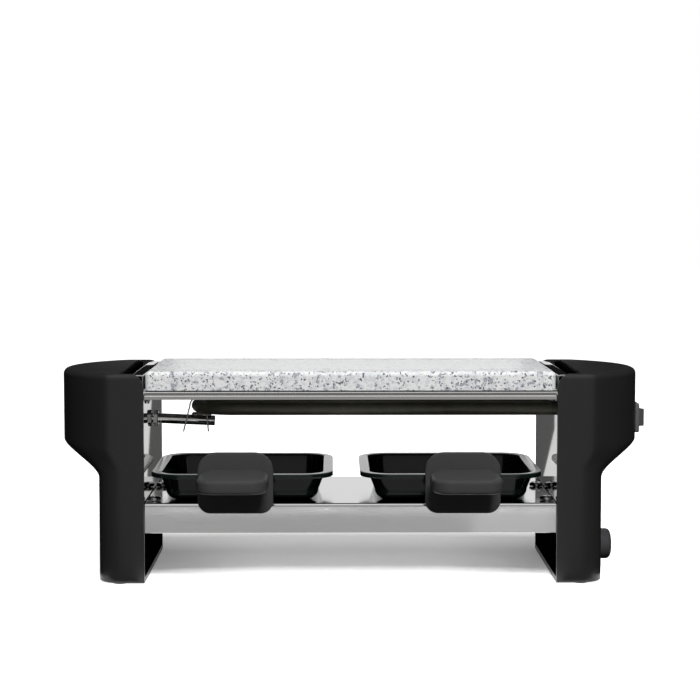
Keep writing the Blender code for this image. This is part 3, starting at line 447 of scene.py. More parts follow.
finishes = {
    "housing_plastic": mouldedPlastic("housingPlastic", (0.0125, 0.0125, 0.0128), 0.4, 0.4),
    # the inner covers are near-pure black with no sheen: partly their own black, partly painted shade in the
    # legs' hollows
    "cover_plastic": mouldedPlastic("coverPlastic", (0.0012, 0.0012, 0.0012), 0.8, 0.0),
    "handle_plastic": mouldedPlastic("handlePlastic", (0.034, 0.034, 0.0345), 0.42, 0.06),
    "polished_steel": rolledSteel("polishedSteel", (0.79, 0.785, 0.765), 0.024, 0.012, 0.01, grazing=0.74),
    "tray_steel": rolledSteel("traySteel", (0.66, 0.66, 0.66), 0.09, 0.04, 0.03, grazing=0.86),
    "granite": graniteMaterial(),
    # oxidised heater tube: brown-black with lighter heat marks
    "element_sheath": grainMaterial(
        "heaterSheath", "moulded", (1500.0, 120.0), ((0.12, 0.12, 0.094), (0.25, 0.243, 0.195)),
        (0.38, 0.55), 0.15, {"Metallic": 0.35}),
    # dark green-black glaze over steel, with faint orange peel
    "pan_coating": grainMaterial(
        "panEnamel", "moulded", (700.0, 40.0), ((0.0022, 0.0045, 0.0040), (0.0045, 0.0080, 0.0072)),
        (0.1, 0.17), 0.05, {"Specular IOR Level": 0.38}),
    "switch_plastic": mouldedPlastic("switchPlastic", (0.076, 0.076, 0.079), 0.36, 0.3, 3200.0, 0.05),
    "rocker_plastic": mouldedPlastic("rockerPlastic", (0.051, 0.051, 0.053), 0.34, 0.3, 3200.0, 0.05),
    "gland_plastic": mouldedPlastic("glandPlastic", (0.036, 0.036, 0.038), 0.38, 0.3, 3200.0, 0.06),
    "foot_rubber": mouldedPlastic("footRubber", (0.014, 0.014, 0.014), 0.85, 0.3, 1800.0, 0.2),
    "brass": rolledSteel("plainBrass", (0.72, 0.52, 0.22), 0.28),
    "ceramic": mouldedPlastic("blockCeramic", (0.72, 0.70, 0.64), 0.5, 0.4, 1400.0, 0.1, 1.1),
    "brown_sleeve": mouldedPlastic("brownSleeve", (0.16, 0.06, 0.025), 0.45),
    "blue_sleeve": mouldedPlastic("blueSleeve", (0.02, 0.08, 0.30), 0.45),
    "green_sleeve": mouldedPlastic("greenSleeve", (0.20, 0.42, 0.04), 0.45),
    "tinned_wire": rolledSteel("tinnedWire", (0.6, 0.6, 0.6), 0.3),
    "zinc_steel": rolledSteel("zincSteel", (0.62, 0.62, 0.63), 0.22, 0.08, 0.05, 1400.0),
}
report("materials made")


def finishPiece(piece, body, slotName, *replaced):
    # the piece gets its finish, its body and the node it stands for
    piece.data.materials.clear()
    piece.data.materials.append(finishes[slotName])
    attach(piece, body)
    if replaced:
        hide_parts(*replaced)


# end housings

def housingRings(shape, side, share, inset, innerX, heights):
    # loops from the front inner corner round the outer side to the back inner corner;
    # share mixes the leg's rounded rectangle (0) with the bowed top (1)
    share, inset = share[:, None, None], inset[:, None]
    bowRadius = (midDepth ** 2 + shape["bow"] ** 2) / (2 * shape["bow"])
    centreX = innerHalf + shape["frontFlat"] + shape["bow"] - bowRadius
    t = np.linspace(0, 1, shape["sideColumns"])[None]
    radius = bowRadius - inset
    turn = np.arcsin((midDepth - inset) / radius) * (2 * t - 1)
    top = np.stack([centreX + radius * np.cos(turn), midDepth + radius * np.sin(turn)], -1)
    cornerShare = shape["cornerShare"]
    corner = shape["legCorner"] - inset
    face = innerHalf + shape["legWidth"] - inset
    first = np.clip(t / cornerShare, 0, 1)
    last = np.clip((t - 1 + cornerShare) / cornerShare, 0, 1)
    middle = np.clip((t - cornerShare) / (1 - 2 * cornerShare), 0, 1)
    turn = np.pi / 2 * (first - 1 + last)
    centreY = inset + corner + (depth - 2 * inset - 2 * corner) * middle
    leg = np.stack([face - corner + corner * np.cos(turn), centreY + corner * np.sin(turn)], -1)
    curve = leg * (1 - share) + top * share
    flat = np.linspace(0, 1, shape["flatColumns"] + 1)[None, :-1]
    frontX = innerX + (curve[:, :1, 0] - innerX) * flat
    front = np.stack([frontX, np.broadcast_to(inset, frontX.shape)], -1)
    back = np.stack([frontX[:, ::-1], np.broadcast_to(depth - inset, frontX.shape)], -1)
    loops = np.concatenate([front, curve, back], 1)
    # even spacing, then a short blur softens the crease between the flat and the bow
    count, reach = shape["columns"], shape["blurReach"]
    even = np.empty((len(loops), count, 2))
    for row, loop in enumerate(loops):
        run = np.concatenate([[0], np.cumsum(np.linalg.norm(np.diff(loop, axis=0), axis=1))])
        places = np.linspace(0, run[-1], count)
        even[row, :, 0] = np.interp(places, run, loop[:, 0])
        even[row, :, 1] = np.interp(places, run, loop[:, 1])
    kernel = np.exp(-0.5 * (np.arange(-reach, reach + 1) / shape["creaseBlur"]) ** 2)
    kernel /= kernel.sum()
    padded = np.concatenate([2 * even[:, :1] - even[:, reach:0:-1], even,
                             2 * even[:, -1:] - even[:, -2:-2 - reach:-1]], 1)
    soft = sum(weight * padded[:, k:k + count] for k, weight in enumerate(kernel))
    soft[:, 0], soft[:, -1] = even[:, 0], even[:, -1]
    level = np.broadcast_to(heights[:, None], soft.shape[:2])
    return np.stack([side * soft[..., 0], soft[..., 1], level], -1)


def housingLevels(shape, wall, edge):
    # (share, extra inset, height) from the foot edge, up the leg, through the flare and over the
    # deck's edge; the cavity's levels lie a wall inside
    foot, straight = shape["footEdge"], shape["straightRows"]
    low, high = shape["foot"] + wall, shape["height"] - wall
    start, stop = shape["flareLow"] + wall, shape["flareHigh"] + wall
    footIn, footUp = quarterRound(foot, 4)
    edgeIn, edgeUp = quarterRound(edge, 8)
    flare = np.linspace(0, 1, shape["flareRows"])
    share = np.concatenate([np.zeros(len(footIn) + straight), flare ** 2 * (3 - 2 * flare),
                            np.ones(straight + len(edgeIn))])
    extra = np.concatenate([footIn[::-1], np.zeros(2 * straight + len(flare)), edgeIn])
    height = np.concatenate([low + foot - footUp[::-1], np.linspace(low + foot, start, straight + 2)[1:-1],
                             start + (stop - start) * flare,
                             np.linspace(stop, high - edge, straight + 2)[1:-1], high - edge + edgeUp])
    return share, extra, height


def makeHousing(hand, side):
    # a lofted shell less its cavity, a notch beside the stone, the cheek's rounded corner, and on the
    # right the switch's seat and opening and the cord hole
    shape = {
        "bow": 0.0277, "frontFlat": 0.019, "legWidth": 0.0241, "legCorner": 0.012, "wall": 0.0025,
        "flareLow": 0.054, "flareHigh": 0.071, "height": 0.108, "foot": 0.001, "footEdge": 0.0007,
        "deckEdge": 0.003, "cheekCorner": 0.007, "deckSetback": 0.0125, "cornerShare": 4 / 14,
        "sideColumns": 141, "flatColumns": 8, "columns": 170, "straightRows": 6, "flareRows": 29,
        "creaseBlur": 1.2, "blurReach": 4, "softEdge": 0.00035,
    }
    # the switch's cuts as opposite corners, the cord hole as (along, radius); y from the middle
    cuts = {
        "seat": ((0.1508, -0.0108, 0.07315), (0.156, 0.0108, 0.08925)),
        "opening": ((0.1458, -0.0098, 0.0744), (0.156, 0.0098, 0.088)),
    }
    cord = {"profile": ((0.1245, 0), (0.1245, 0.0063), (0.1315, 0.0063), (0.1315, 0)), "height": 0.0125}
    wall, height = shape["wall"], shape["height"]
    share, extra, level = housingLevels(shape, 0, shape["deckEdge"])
    shell = loft(hand + "Housing", housingRings(shape, side, share, extra, innerHalf, level))
    share, extra, level = housingLevels(shape, wall, shape["deckEdge"] / 2)
    cavity = loft("cavity", housingRings(shape, side, share, extra + wall, innerHalf - spare, level))
    notch = boxPiece("notch", (side * (innerHalf - spare), wall, height - 2 * wall),
                     (side * (innerHalf + shape["deckSetback"]), depth - wall, height + spare))
    radius = shape["cheekCorner"]
    outline = np.concatenate([
        [(innerHalf - spare, height + spare), (innerHalf - spare, height - radius)],
        arc((innerHalf + radius, height - radius), radius, np.pi, np.pi / 2, 13),
        [(innerHalf + radius, height + spare)]])
    cutters = [cavity, notch, sweepProfile("cheek", outline * (side, 1), 1, -spare, depth + spare)]
    if side > 0:
        cutters += [boxPiece(name, *(np.array(ends) + (0, midDepth, 0))) for name, ends in cuts.items()]
        cutters.append(loft("cordHole", turned(cord["profile"], 48) + (0, midDepth, cord["height"])))
    carve(shell, cutters, 35)
    softenEdges(shell, shape["softEdge"], 2, 50)
    flattenShading(shell)
    finishPiece(shell, "base", "housing_plastic", hand + "_housing")


for hand, side in hands:
    makeHousing(hand, side)
report("housings made")


# folded steel: side plates, rails, tray

def foldSheet(name, node, slotName, sheet, path, axis, span, flip=(1, 1), move=(0, 0)):
    # a folded strip: the bent path's section, flipped and moved, carried straight along one axis
    outline = sheetOutline(path, sheet["wall"], sheet["bend"], sheet["bendSteps"]) * flip + move
    made = sweepProfile(name, outline, axis, *span)
    softenEdges(made, sheet["softEdge"], 1, 50)
    flattenShading(made)
    finishPiece(made, "base", slotName, node)


def makeSidePlate(hand, side):
    # folded in under the tray, up the cheek, outward over the deck and down in a short hem
    plate = {"wall": 0.0008, "bend": 0.0011, "bendSteps": 8, "front": 0.0028, "footReach": 0.012,
             "footHeight": 0.0405, "topHeight": 0.1068, "topReach": 0.0066, "hem": 0.0026,
             "softEdge": 0.00015}
    web, foot, top = innerHalf + plate["wall"] / 2, plate["footHeight"], plate["topHeight"]
    hemX = innerHalf + plate["topReach"]
    path = [(innerHalf - plate["footReach"], foot), (web, foot), (web, top), (hemX, top),
            (hemX, top - plate["hem"])]
    foldSheet(hand + "SidePlate", hand + "_side_plate", "polished_steel", plate, path, 1,
              (plate["front"], depth - plate["front"]), (side, 1))


def makeRail(name, node, flip, move):
    # a lower face that leans a little, a step, the upper face and the ledge under the stone
    rail = {"wall": 0.0005, "bend": 0.0003, "bendSteps": 5, "lean": 0.00015, "lowerFace": 0.0027,
            "upperFace": 0.0039, "low": 0.0947, "step": 0.0965, "ledge": 0.09835, "ledgeEnd": 0.0138,
            "endGap": 0.0003, "softEdge": 0.00012}
    path = [(rail["lowerFace"] + rail["lean"], rail["low"]), (rail["lowerFace"], rail["step"]),
            (rail["upperFace"], rail["step"]), (rail["upperFace"], rail["ledge"]),
            (rail["ledgeEnd"], rail["ledge"])]
    end = innerHalf - rail["endGap"]
    foldSheet(name, node, "polished_steel", rail, path, 0, (-end, end), flip, move)


def makeTray():
    # a flat channel with a lip down at the front and at the back
    tray = {"wall": 0.0008, "bend": 0.0013, "bendSteps": 8, "front": 0.0008, "top": 0.0416, "low": 0.0268,
            "endGap": 0.0004, "softEdge": 0.00012}
    front, back = tray["front"], depth - tray["front"]
    path = [(front, tray["low"]), (front, tray["top"]), (back, tray["top"]), (back, tray["low"])]
    end = innerHalf - tray["endGap"]
    foldSheet("pansTray", "tray", "tray_steel", tray, path, 0, (-end, end))


for hand, side in hands:
    makeSidePlate(hand, side)
makeRail("frontRail", "front_rail", (1, 1), (0, 0))
makeRail("backRail", "back_rail", (-1, 1), (depth, 0))
makeTray()
report("sheet metal made")


# stone plate

def makeStone():
    # a rounded rectangle with rounded edges, its corners tighter towards the edges
    stone = {"halfX": 0.1046, "halfY": 0.046, "low": 0.0989, "high": 0.1089, "corner": 0.003,
             "leastCorner": 0.0004, "topEdge": 0.0025, "lowEdge": 0.0006}

    def outlineAt(inset):
        corner = max(stone["corner"] - inset, stone["leastCorner"])
        return roundedRectangle(stone["halfX"] - inset, stone["halfY"] - inset, corner, 8, 10) + (0, midDepth)

    made = slab("stonePlate", outlineAt, stone["low"], stone["high"], stone["lowEdge"], stone["topEdge"], 8)
    flattenShading(made)
    finishPiece(made, "stone", "granite", "stone_plate")


makeStone()
report("stone made")


# heating element and its support

element = {"radius": 0.0033, "height": 0.0873, "bend": 0.021, "reach": 0.0843, "end": 0.1205}
element["bendX"] = element["bend"] + element["radius"] - element["reach"]


def makeElement():
    # two straight runs joined by half a circle
    bend, bendX = element["bend"], element["bendX"]
    run = np.linspace(element["end"], bendX, 24)
    half = arc((bendX, midDepth), bend, -np.pi / 2, -3 * np.pi / 2, 49)[1:-1]
    hairpin = np.concatenate([atHeight(run, midDepth - bend), half, atHeight(run[::-1], midDepth + bend)])
    made = tube("heatingElement", atHeight(hairpin, element["height"]), element["radius"], 28)
    finishPiece(made, "base", "element_sheath", "heating_element")


def makeClip():
    # a wire over the element's bend: half a circle between two straight legs
    clip = {"radius": 0.0004, "tipHeight": 0.0734, "splay": 0.0035, "offset": 0.0034, "wrap": 0.0043}
    wrap = clip["wrap"]
    apexX = element["bendX"] - math.sqrt(element["bend"] ** 2 - clip["offset"] ** 2)
    over = arc((apexX, element["height"]), wrap, np.pi, 0, 25)
    leftTip = np.array([apexX - wrap - clip["splay"], clip["tipHeight"]])
    rightTip = np.array([apexX + wrap + clip["splay"] / 3, clip["tipHeight"]])
    share = np.linspace(0, 1, 12)[:-1, None]
    wire = np.concatenate([leftTip + (over[0] - leftTip) * share, over,
                           (rightTip + (over[-1] - rightTip) * share)[::-1]])
    path = np.column_stack([wire[:, 0], np.full(len(wire), midDepth - clip["offset"]), wire[:, 1]])
    finishPiece(tube("elementClip", path, clip["radius"], 10), "base", "zinc_steel", "element_clip")


rod = {"radius": 0.0027, "reach": 0.0332, "tail": 0.006, "tailRadius": 0.0002, "bevel": 0.0006,
       "droop": 2.5, "height": 0.0804}


def onRod(points):
    # local x runs out along the drooping rod from the side plate's face: x and z turn by the droop
    droop = math.radians(rod["droop"])
    turned = points.copy()
    turned[..., 0] = points[..., 0] * math.cos(droop) + points[..., 2] * math.sin(droop)
    turned[..., 2] = -points[..., 0] * math.sin(droop) + points[..., 2] * math.cos(droop)
    return turned + np.array([-innerHalf, midDepth, rod["height"]])


def rodLoft(name, profile, steps, hexagon=False):
    # a turned piece on the rod
    return loft(name, onRod(turned(profile, steps, hexagon)), sharpAngle=30)


def makeRod():
    # a bevelled round rod with a closed tail
    inward, rise = quarterRound(rod["bevel"], 4)
    end = np.column_stack([rod["reach"] - rod["bevel"] + rise, rod["radius"] - inward])
    profile = np.concatenate([[(-rod["tail"], rod["tailRadius"]), (-rod["tail"], rod["radius"])], end])
    finishPiece(rodLoft("elementRod", profile, 32), "base", "polished_steel", "element_rod")


def makeNuts():
    # a chamfered hexagon on each side of the side plate, clear of the plate's lean
    nut = {"flat": 0.0038, "length": 0.0024, "lean": 0.00047, "chamfer": 0.0003, "bore": 0.003,
           "plate": 0.0008}
    face = nut["flat"] - nut["chamfer"]
    for name, node, low in (("innerNut", "inner_rod_nut", nut["lean"]),
                            ("outerNut", "outer_rod_nut", -nut["plate"] - nut["lean"] - nut["length"])):
        high = low + nut["length"]
        profile = [(low, nut["bore"]), (low, face), (low + nut["chamfer"], nut["flat"]),
                   (high - nut["chamfer"], nut["flat"]), (high, face), (high, nut["bore"])]
        finishPiece(rodLoft(name, profile, 48, True), "base", "zinc_steel", node)


def makeSaddle():
    # a block on the rod with its upper ends cut at 45 degrees, carried across the rod
    saddle = {"start": 0.0207, "end": 0.0312, "half": 0.0028, "low": 0.003, "high": 0.0039,
              "softEdge": 0.0003}
    start, end, low, high = (saddle[key] for key in ("start", "end", "low", "high"))
    step = (high - low) / 2
    outline = np.array([(start, low), (end, low), (end, high - step), (end - step, high),
                        (start + step, high), (start, high - step)])
    rings = np.zeros((2, len(outline), 3))
    rings[..., [0, 2]] = outline
    rings[..., 1] = np.array([[-saddle["half"]], [saddle["half"]]])
    made = loft("elementSaddle", onRod(rings))
    softenEdges(made, saddle["softEdge"])
    finishPiece(made, "base", "element_sheath", "element_saddle")


makeElement()
makeClip()
makeRod()
makeNuts()
makeSaddle()
report("element made")


# pans and handles

pans = {"pitch": 0.1077, "shift": -0.0020, "front": 0.0015}


def panCentre(side):
    # half a pitch to either side, moved by the pair's shift
    return side * pans["pitch"] / 2 + pans["shift"]


def makePan(hand, side):
    # rounded rectangles at (inset, height) levels: the outer floor and wall, under the flange, round
    # the hem's bead, over the rim, and down the inner wall to the floor
    pan = {"halfX": 0.0469, "halfY": 0.045, "rim": 0.0565, "low": 0.0423, "wall": 0.0009, "corner": 0.016,
           "flange": 0.0045, "taper": 0.003, "floorRadius": 0.005, "hem": 0.0022, "bead": 0.62,
           "underRound": 0.0006, "overRound": 0.0012}
    wall, low, rim, flange = pan["wall"], pan["low"], pan["rim"], pan["flange"]
    centre = np.array([panCentre(side), pans["front"] + pan["halfY"]])

    floorRound, under, over = pan["floorRadius"], pan["underRound"], pan["overRound"]
    floorCentre = (flange + pan["taper"] + floorRound, low + floorRound)
    lipTurn = np.linspace(0, np.pi / 2, 5)
    lipCos, lipSin = np.cos(lipTurn), np.sin(lipTurn)
    beadTurn, beadRadius, hem = np.linspace(0, np.pi, 5), wall * pan["bead"], rim - pan["hem"]
    levels = np.concatenate([
        arc(floorCentre, -floorRound, np.pi / 2, 0, 9),
        np.column_stack([flange - under * (1 - lipCos), rim - wall - under * (1 - lipSin)]),
        [[wall, rim - wall], [wall, hem + beadRadius * 0.4]],
        np.column_stack([beadRadius * (1 + np.cos(beadTurn)) * 0.55,
                         hem - beadRadius * 0.3 * np.sin(beadTurn)]),
        np.column_stack([wall * (1 - lipCos), rim - wall + wall * lipSin]),
        np.column_stack([flange + wall - over * (1 - lipSin), rim - over * (1 - lipCos)]),
        arc(floorCentre, wall - floorRound, np.pi / 2, 0, 9)[::-1],
    ])
    loops = [atHeight(roundedRectangle(pan["halfX"] - inset, pan["halfY"] - inset, pan["corner"] - inset,
                                       14, 6) + centre, height) for inset, height in levels]
    made = loft(hand + "Pan", np.array(loops), sharpAngle=60)
    finishPiece(made, hand + "_pan_unit", "pan_coating", hand + "_pan")


def makeHandle(hand, side):
    # an upright shield joined to a flat grip; both are stacked outlines with rounded edges
    handle = {"left": 0.0023, "right": 0.0047, "shieldX": 0.0382, "shieldZ": 0.031, "low": 0.0379,
              "front": -0.007, "back": -0.004, "corner": 0.0065, "topCorner": 0.0095, "length": 0.041,
              "root": 0.0278, "end": 0.0346, "gripLow": 0.0534, "gripHigh": 0.0603, "gripCorner": 0.009,
              "neck": 0.35, "sunk": 0.0015, "shieldEdge": 0.0009, "gripEdge": 0.0018}
    centreX = panCentre(side) + side * handle[hand]
    middleZ = handle["low"] + handle["shieldZ"] / 2

    def shieldAt(inset, y):
        # four arcs, rounder at the top than at the bottom
        loop = []
        for first, signX, signZ, corner in ((0, 1, 1, "topCorner"), (90, -1, 1, "topCorner"),
                                            (180, -1, -1, "corner"), (270, 1, -1, "corner")):
            radius = handle[corner] - inset
            turn = np.radians(first + np.linspace(0, 90, 13))
            x = signX * (handle["shieldX"] / 2 - inset - radius) + radius * np.cos(turn)
            z = middleZ + signZ * (handle["shieldZ"] / 2 - inset - radius) + radius * np.sin(turn)
            loop.append(np.column_stack([x + centreX, np.full(len(turn), y), z]))
        return np.concatenate(loop)

    def gripAt(inset):
        # half outline from the root to the rounded front, mirrored; inset follows each side's normal
        root, end = handle["root"] / 2 - inset, handle["end"] / 2 - inset
        start = handle["front"] + handle["sunk"]
        neck = handle["front"] - handle["length"] * handle["neck"]
        tip = handle["front"] - handle["length"] + inset
        radius = handle["gripCorner"] - inset
        share = np.linspace(0, 1, 15)
        smooth = share ** 2 * (3 - 2 * share)
        flank = np.column_stack([root + (end - root) * smooth, start + (neck - start) * share])
        corner = arc((end - radius, tip + radius), radius, 0, -np.pi / 2, 13)
        half = np.concatenate([flank, corner])
        return np.concatenate([half, half[::-1] * (-1, 1)]) + (centreX, 0)

    edge = handle["shieldEdge"]
    levels = roundedLevels(handle["front"], handle["back"], edge, edge, 5)
    shield = loft(hand + "PanHandle", np.array([shieldAt(inset, y) for inset, y in levels]))
    edge = handle["gripEdge"]
    carve(shield, [slab("grip", gripAt, handle["gripLow"], handle["gripHigh"], edge, edge, 6)], 50, "UNION")
    finishPiece(shield, hand + "_pan_unit", "handle_plastic", hand + "_pan_handle")


for hand, side in hands:
    makePan(hand, side)
    makeHandle(hand, side)
report("pans made")


# switch and cord gland

def makeSwitch():
    # rounded rectangles stacked outward along x: body, flange, rounded edge, then down the well
    switch = {"seat": 0.1511, "face": 0.1531, "halfY": 0.0105, "halfZ": 0.00775, "corner": 0.0012,
              "leastCorner": 0.0004, "edge": 0.0007, "height": 0.0812, "wellY": 0.0085, "wellZ": 0.0049,
              "wellCorner": 0.0006, "wellEdge": 0.0004, "wellDeep": 0.0085, "bodyY": 0.0095,
              "bodyZ": 0.0065, "bodyCorner": 0.0008, "bodyDeep": 0.0143}

    def ringAt(halfY, halfZ, corner, x):
        loop = roundedRectangle(halfY, halfZ, corner, 6, 2)
        return np.column_stack([np.full(len(loop), x), loop + (midDepth, switch["height"])])

    body = (switch["bodyY"], switch["bodyZ"], switch["bodyCorner"])
    well = (switch["wellY"], switch["wellZ"], switch["wellCorner"])
    seat, face, edge = switch["seat"], switch["face"], switch["wellEdge"]
    rings = [ringAt(*body, seat - switch["bodyDeep"]), ringAt(*body, seat),
             ringAt(switch["halfY"], switch["halfZ"], switch["corner"], seat)]
    rings += [ringAt(switch["halfY"] - inset, switch["halfZ"] - inset,
                     max(switch["corner"] - inset, switch["leastCorner"]), face - switch["edge"] + up)
              for inset, up in zip(*quarterRound(switch["edge"], 5))]
    rings += [ringAt(well[0] + edge, well[1] + edge, switch["bodyCorner"], face), ringAt(*well, face - edge),
              ringAt(*well, face - switch["wellDeep"])]
    finishPiece(loft("switchBody", np.array(rings)), "base", "switch_plastic", "switch_body")


def makeRocker():
    # the cap's two faces meet in a hollow at the pivot; the ends turn about the pivot
    rocker = {"pivotX": 0.1516, "height": 0.0812, "reach": 0.0082, "half": 0.0046, "tip": 22.54,
              "belly": 33, "dip": 0.0011, "lean": 12, "edge": 0.0004}
    belly, tip, lean = (math.radians(rocker[key]) for key in ("belly", "tip", "lean"))
    end = arc((0, 0), rocker["reach"], -belly, tip, 13)[:, ::-1]
    share = np.linspace(1, 0, 13)[1:, None]
    crown = rocker["reach"] * math.sin(tip)
    face = np.column_stack([crown - rocker["dip"] * (1 - share ** 2), share * end[-1, 1]])
    half = np.concatenate([end, face])
    outline = np.concatenate([half, (half * (1, -1))[::-1][1:]])
    outline = outline @ np.array([[math.cos(lean), math.sin(lean)], [-math.sin(lean), math.cos(lean)]])
    made = sweepProfile("switchRocker", outline + (rocker["pivotX"], midDepth), 2,
                        rocker["height"] - rocker["half"], rocker["height"] + rocker["half"], 30)
    softenEdges(made, rocker["edge"], 3)
    finishPiece(made, "rocker", "rocker_plastic", "switch_rocker")


def makeGland():
    # a turned ring: shank, flange with a rounded lip, and a rounded mouth into the bore
    gland = {"face": 0.1294, "tail": 0.1216, "bore": 0.0035, "shank": 0.006, "radius": 0.0081,
             "proud": 0.1396, "round": 0.0025, "mouthRound": 0.0008, "backEdge": 0.0003, "height": 0.0125}
    face, tail, edge, mouth = gland["face"], gland["tail"], gland["backEdge"], gland["mouthRound"]
    bore, radius, lip, proud = gland["bore"], gland["radius"], gland["round"], gland["proud"]
    profile = np.concatenate([
        [(tail, bore), (tail, gland["shank"]), (face, gland["shank"]), (face, radius - edge),
         (face + edge, radius)],
        arc((radius - lip, proud - lip), lip, 0, np.pi / 2, 9)[:, ::-1],
        arc((proud - mouth, bore + mouth), mouth, 0, -np.pi / 2, 9)])
    made = loft("cordGland", turned(profile, 64) + (0, midDepth, gland["height"]), closeRows=True)
    finishPiece(made, "base", "gland_plastic", "cord_gland")


makeSwitch()
makeRocker()
makeGland()
report("switch and gland made")


# screws, feet and small parts

def makeTrayScrew(hand, end, side):
    # head as height over a disc: a dome of 1 - r^4, less the cross, then the rim and the shank;
    # the cross is two arms, each a product of two clipped ramps
    screw = {"reach": 0.1009, "front": 0.011, "back": 0.0605, "seat": 0.0423, "radius": 0.0036,
             "height": 0.0021, "shank": 0.0015, "length": 0.0075, "tipRadius": 0.0001,
             "armWidth": (0.16, 0.05), "armLength": (0.62, 0.12), "crossDeep": 0.75}
    height, radius, shank = screw["height"], screw["radius"], screw["shank"]
    disc = np.linspace(0.02, 1, 26)[:, None]
    turn = np.linspace(0, 2 * np.pi, 64, endpoint=False)
    u, v = disc * np.cos(turn), disc * np.sin(turn)

    def clipped(place, half, soft):
        return np.clip((half - np.abs(place)) / soft, 0, 1)

    def arm(across, along):
        return clipped(across, *screw["armWidth"]) * clipped(along, *screw["armLength"])

    dome = height * (0.55 + 0.45 * (1 - disc ** 4))
    lift = dome - screw["crossDeep"] * height * np.maximum(arm(u, v), arm(v, u))
    head = np.stack([u * radius, v * radius, lift], -1)
    rim = np.array([[height * 0.25, radius], [0, radius * 0.97], [0, shank], [-screw["length"], shank],
                    [-screw["length"], screw["tipRadius"]]])
    circle = np.column_stack([np.cos(turn), np.sin(turn)])
    skirt = np.empty((len(rim), len(turn), 3))
    skirt[..., :2] = circle * rim[:, 1, None, None]
    skirt[..., 2] = rim[:, 0, None]
    place = np.array([side * screw["reach"], screw[end], screw["seat"]])
    made = loft(f"{hand}{end.title()}TrayScrew", np.concatenate([head, skirt]) + place, sharpAngle=40)
    finishPiece(made, "base", "zinc_steel", f"{hand}_{end}_tray_screw")


for hand, side in hands:
    for end in ("front", "back"):
        makeTrayScrew(hand, end, side)


def smoothCopy(node, body, slotName):
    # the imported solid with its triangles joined, so that its round faces shade smoothly
    piece = addObject(node.replace("_", " ").title().replace(" ", ""), nodes[node].data.copy())
    joinPoints(piece.data, False)
    shadeRound(piece, 32)
    finishPiece(piece, body, slotName, node)


smallParts = {
    "zinc_steel": [f"{corner}_{part}_screw" for part in ("plate", "cover") for corner in corners]
                  + ["front_element_pin", "back_element_pin"],
    "brass": ["front_element_bushing", "back_element_bushing", "front_switch_terminal",
              "back_switch_terminal", "earth_screw"],
    "foot_rubber": [corner + "_foot" for corner in corners],
    "brown_sleeve": ["supply_wire", "switched_wire"],
    "blue_sleeve": ["neutral_wire"],
    "green_sleeve": ["earth_wire"],
    "tinned_wire": ["fuse_lead", "thermal_fuse"],
    "ceramic": ["terminal_block"],
    "gland_plastic": ["gland_lock_nut"],
    "cover_plastic": ["left_inner_cover", "right_inner_cover"],
}
for slotName, names in smallParts.items():
    for name in names:
        smoothCopy(name, "base", slotName)
for hand, side in hands:
    for part in ("_pan_tang", "_handle_screw"):
        smoothCopy(hand + part, hand + "_pan_unit", "zinc_steel")
report("small parts made")


# floor, light and camera

def makeQuad(name, points):
    # one flat face with four corners
    mesh = bpy.data.meshes.new(name)
    mesh.from_pydata(points, [], [(0, 1, 2, 3)])
    return addObject(name, mesh)


def seenDirectly(tree):
    # 1 for the camera's own rays and for what metal or glass shows, else 0
    rays = addNode(tree, "LightPath").outputs
    first = mathNode(tree, "MAXIMUM", rays["Is Camera Ray"], rays["Is Glossy Ray"])
    return mathNode(tree, "MAXIMUM", first, rays["Is Transmission Ray"])


def makeFloor():
    # paper floor, white away from the grill: its own light is the largest of three ramps, on the distance
    # sideways, forwards and back, over a weak level between the legs; this glow paints out the shadows away
    # from the grill, the weaker glow near the legs is painted shade, and under the legs a painted shadow
    # keeps it dark
    floor = {
        "half": 6.0, "colour": 0.9, "bounce": 0.09, "between": 0.24, "shadeBesideLeg": 0.15, "fadeStart": 0.05,
        "side": (0.108, 0.137), "front": (0.062, 0.03), "back": (0.125, 0.21), "shadowLag": 0.012,
        "footX": (0.1052, 0.121), "footY": (0.012, 0.098), "soft": 0.001, "mottle": (0.99, 1.01),
    }
    half, soft = floor["half"], floor["soft"]
    made = makeQuad("floor", [(-half, -half, 0), (half, -half, 0), (half, half, 0), (-half, half, 0)])
    paper, tree, shader = newMaterial("palePaper", {
        "Roughness": 0.9, "Specular IOR Level": 0.0, "Emission Color": (1, 1, 1, 1)})

    def times(first, second):
        return mathNode(tree, "MULTIPLY", first, second)

    def window(source, low, high):
        # 1 between the bounds, with a soft step at either end
        return times(rangeNode(tree, source, 0.0, 1.0, (low, low + soft)),
                     rangeNode(tree, source, 1.0, 0.0, (high - soft, high)))

    axes = addNode(tree, "SeparateXYZ", {0: addNode(tree, "TexCoord").outputs["Object"]}).outputs
    across = mathNode(tree, "ABSOLUTE", mathNode(tree, "SUBTRACT", axes[0], shift[0]))
    deep = mathNode(tree, "SUBTRACT", axes[1], shift[1])
    # painted shade: towards the legs the glow falls below the level between them, and the lag carries the
    # dark further forward
    fade = (floor["fadeStart"], floor["footX"][0])
    lagged = mathNode(tree, "ADD", deep, rangeNode(tree, across, 0.0, floor["shadowLag"], fade))
    glow = rangeNode(tree, across, floor["between"], floor["shadeBesideLeg"], fade)
    for source, key in ((across, "side"), (lagged, "front"), (deep, "back")):
        glow = mathNode(tree, "MAXIMUM", glow, rangeNode(tree, source, 0.0, 1.0, floor[key]))
    # painted shadow: in the legs' footprints the floor's colour and glow go to black
    foot = times(window(across, *floor["footX"]), window(deep, *floor["footY"]))
    clearOfFootShadow = mathNode(tree, "SUBTRACT", 1.0, foot)
    seen = seenDirectly(tree)
    mottle = rangeNode(tree, grainOutputs(tree, "moulded", (900.0, 6.0))["Drift"], *floor["mottle"])
    tone = times(rangeNode(tree, seen, floor["bounce"], floor["colour"]), mottle)
    feed(shader["Base Color"], times(tone, clearOfFootShadow))
    feed(shader["Emission Strength"], times(times(glow, clearOfFootShadow), seen))
    made.data.materials.append(paper)


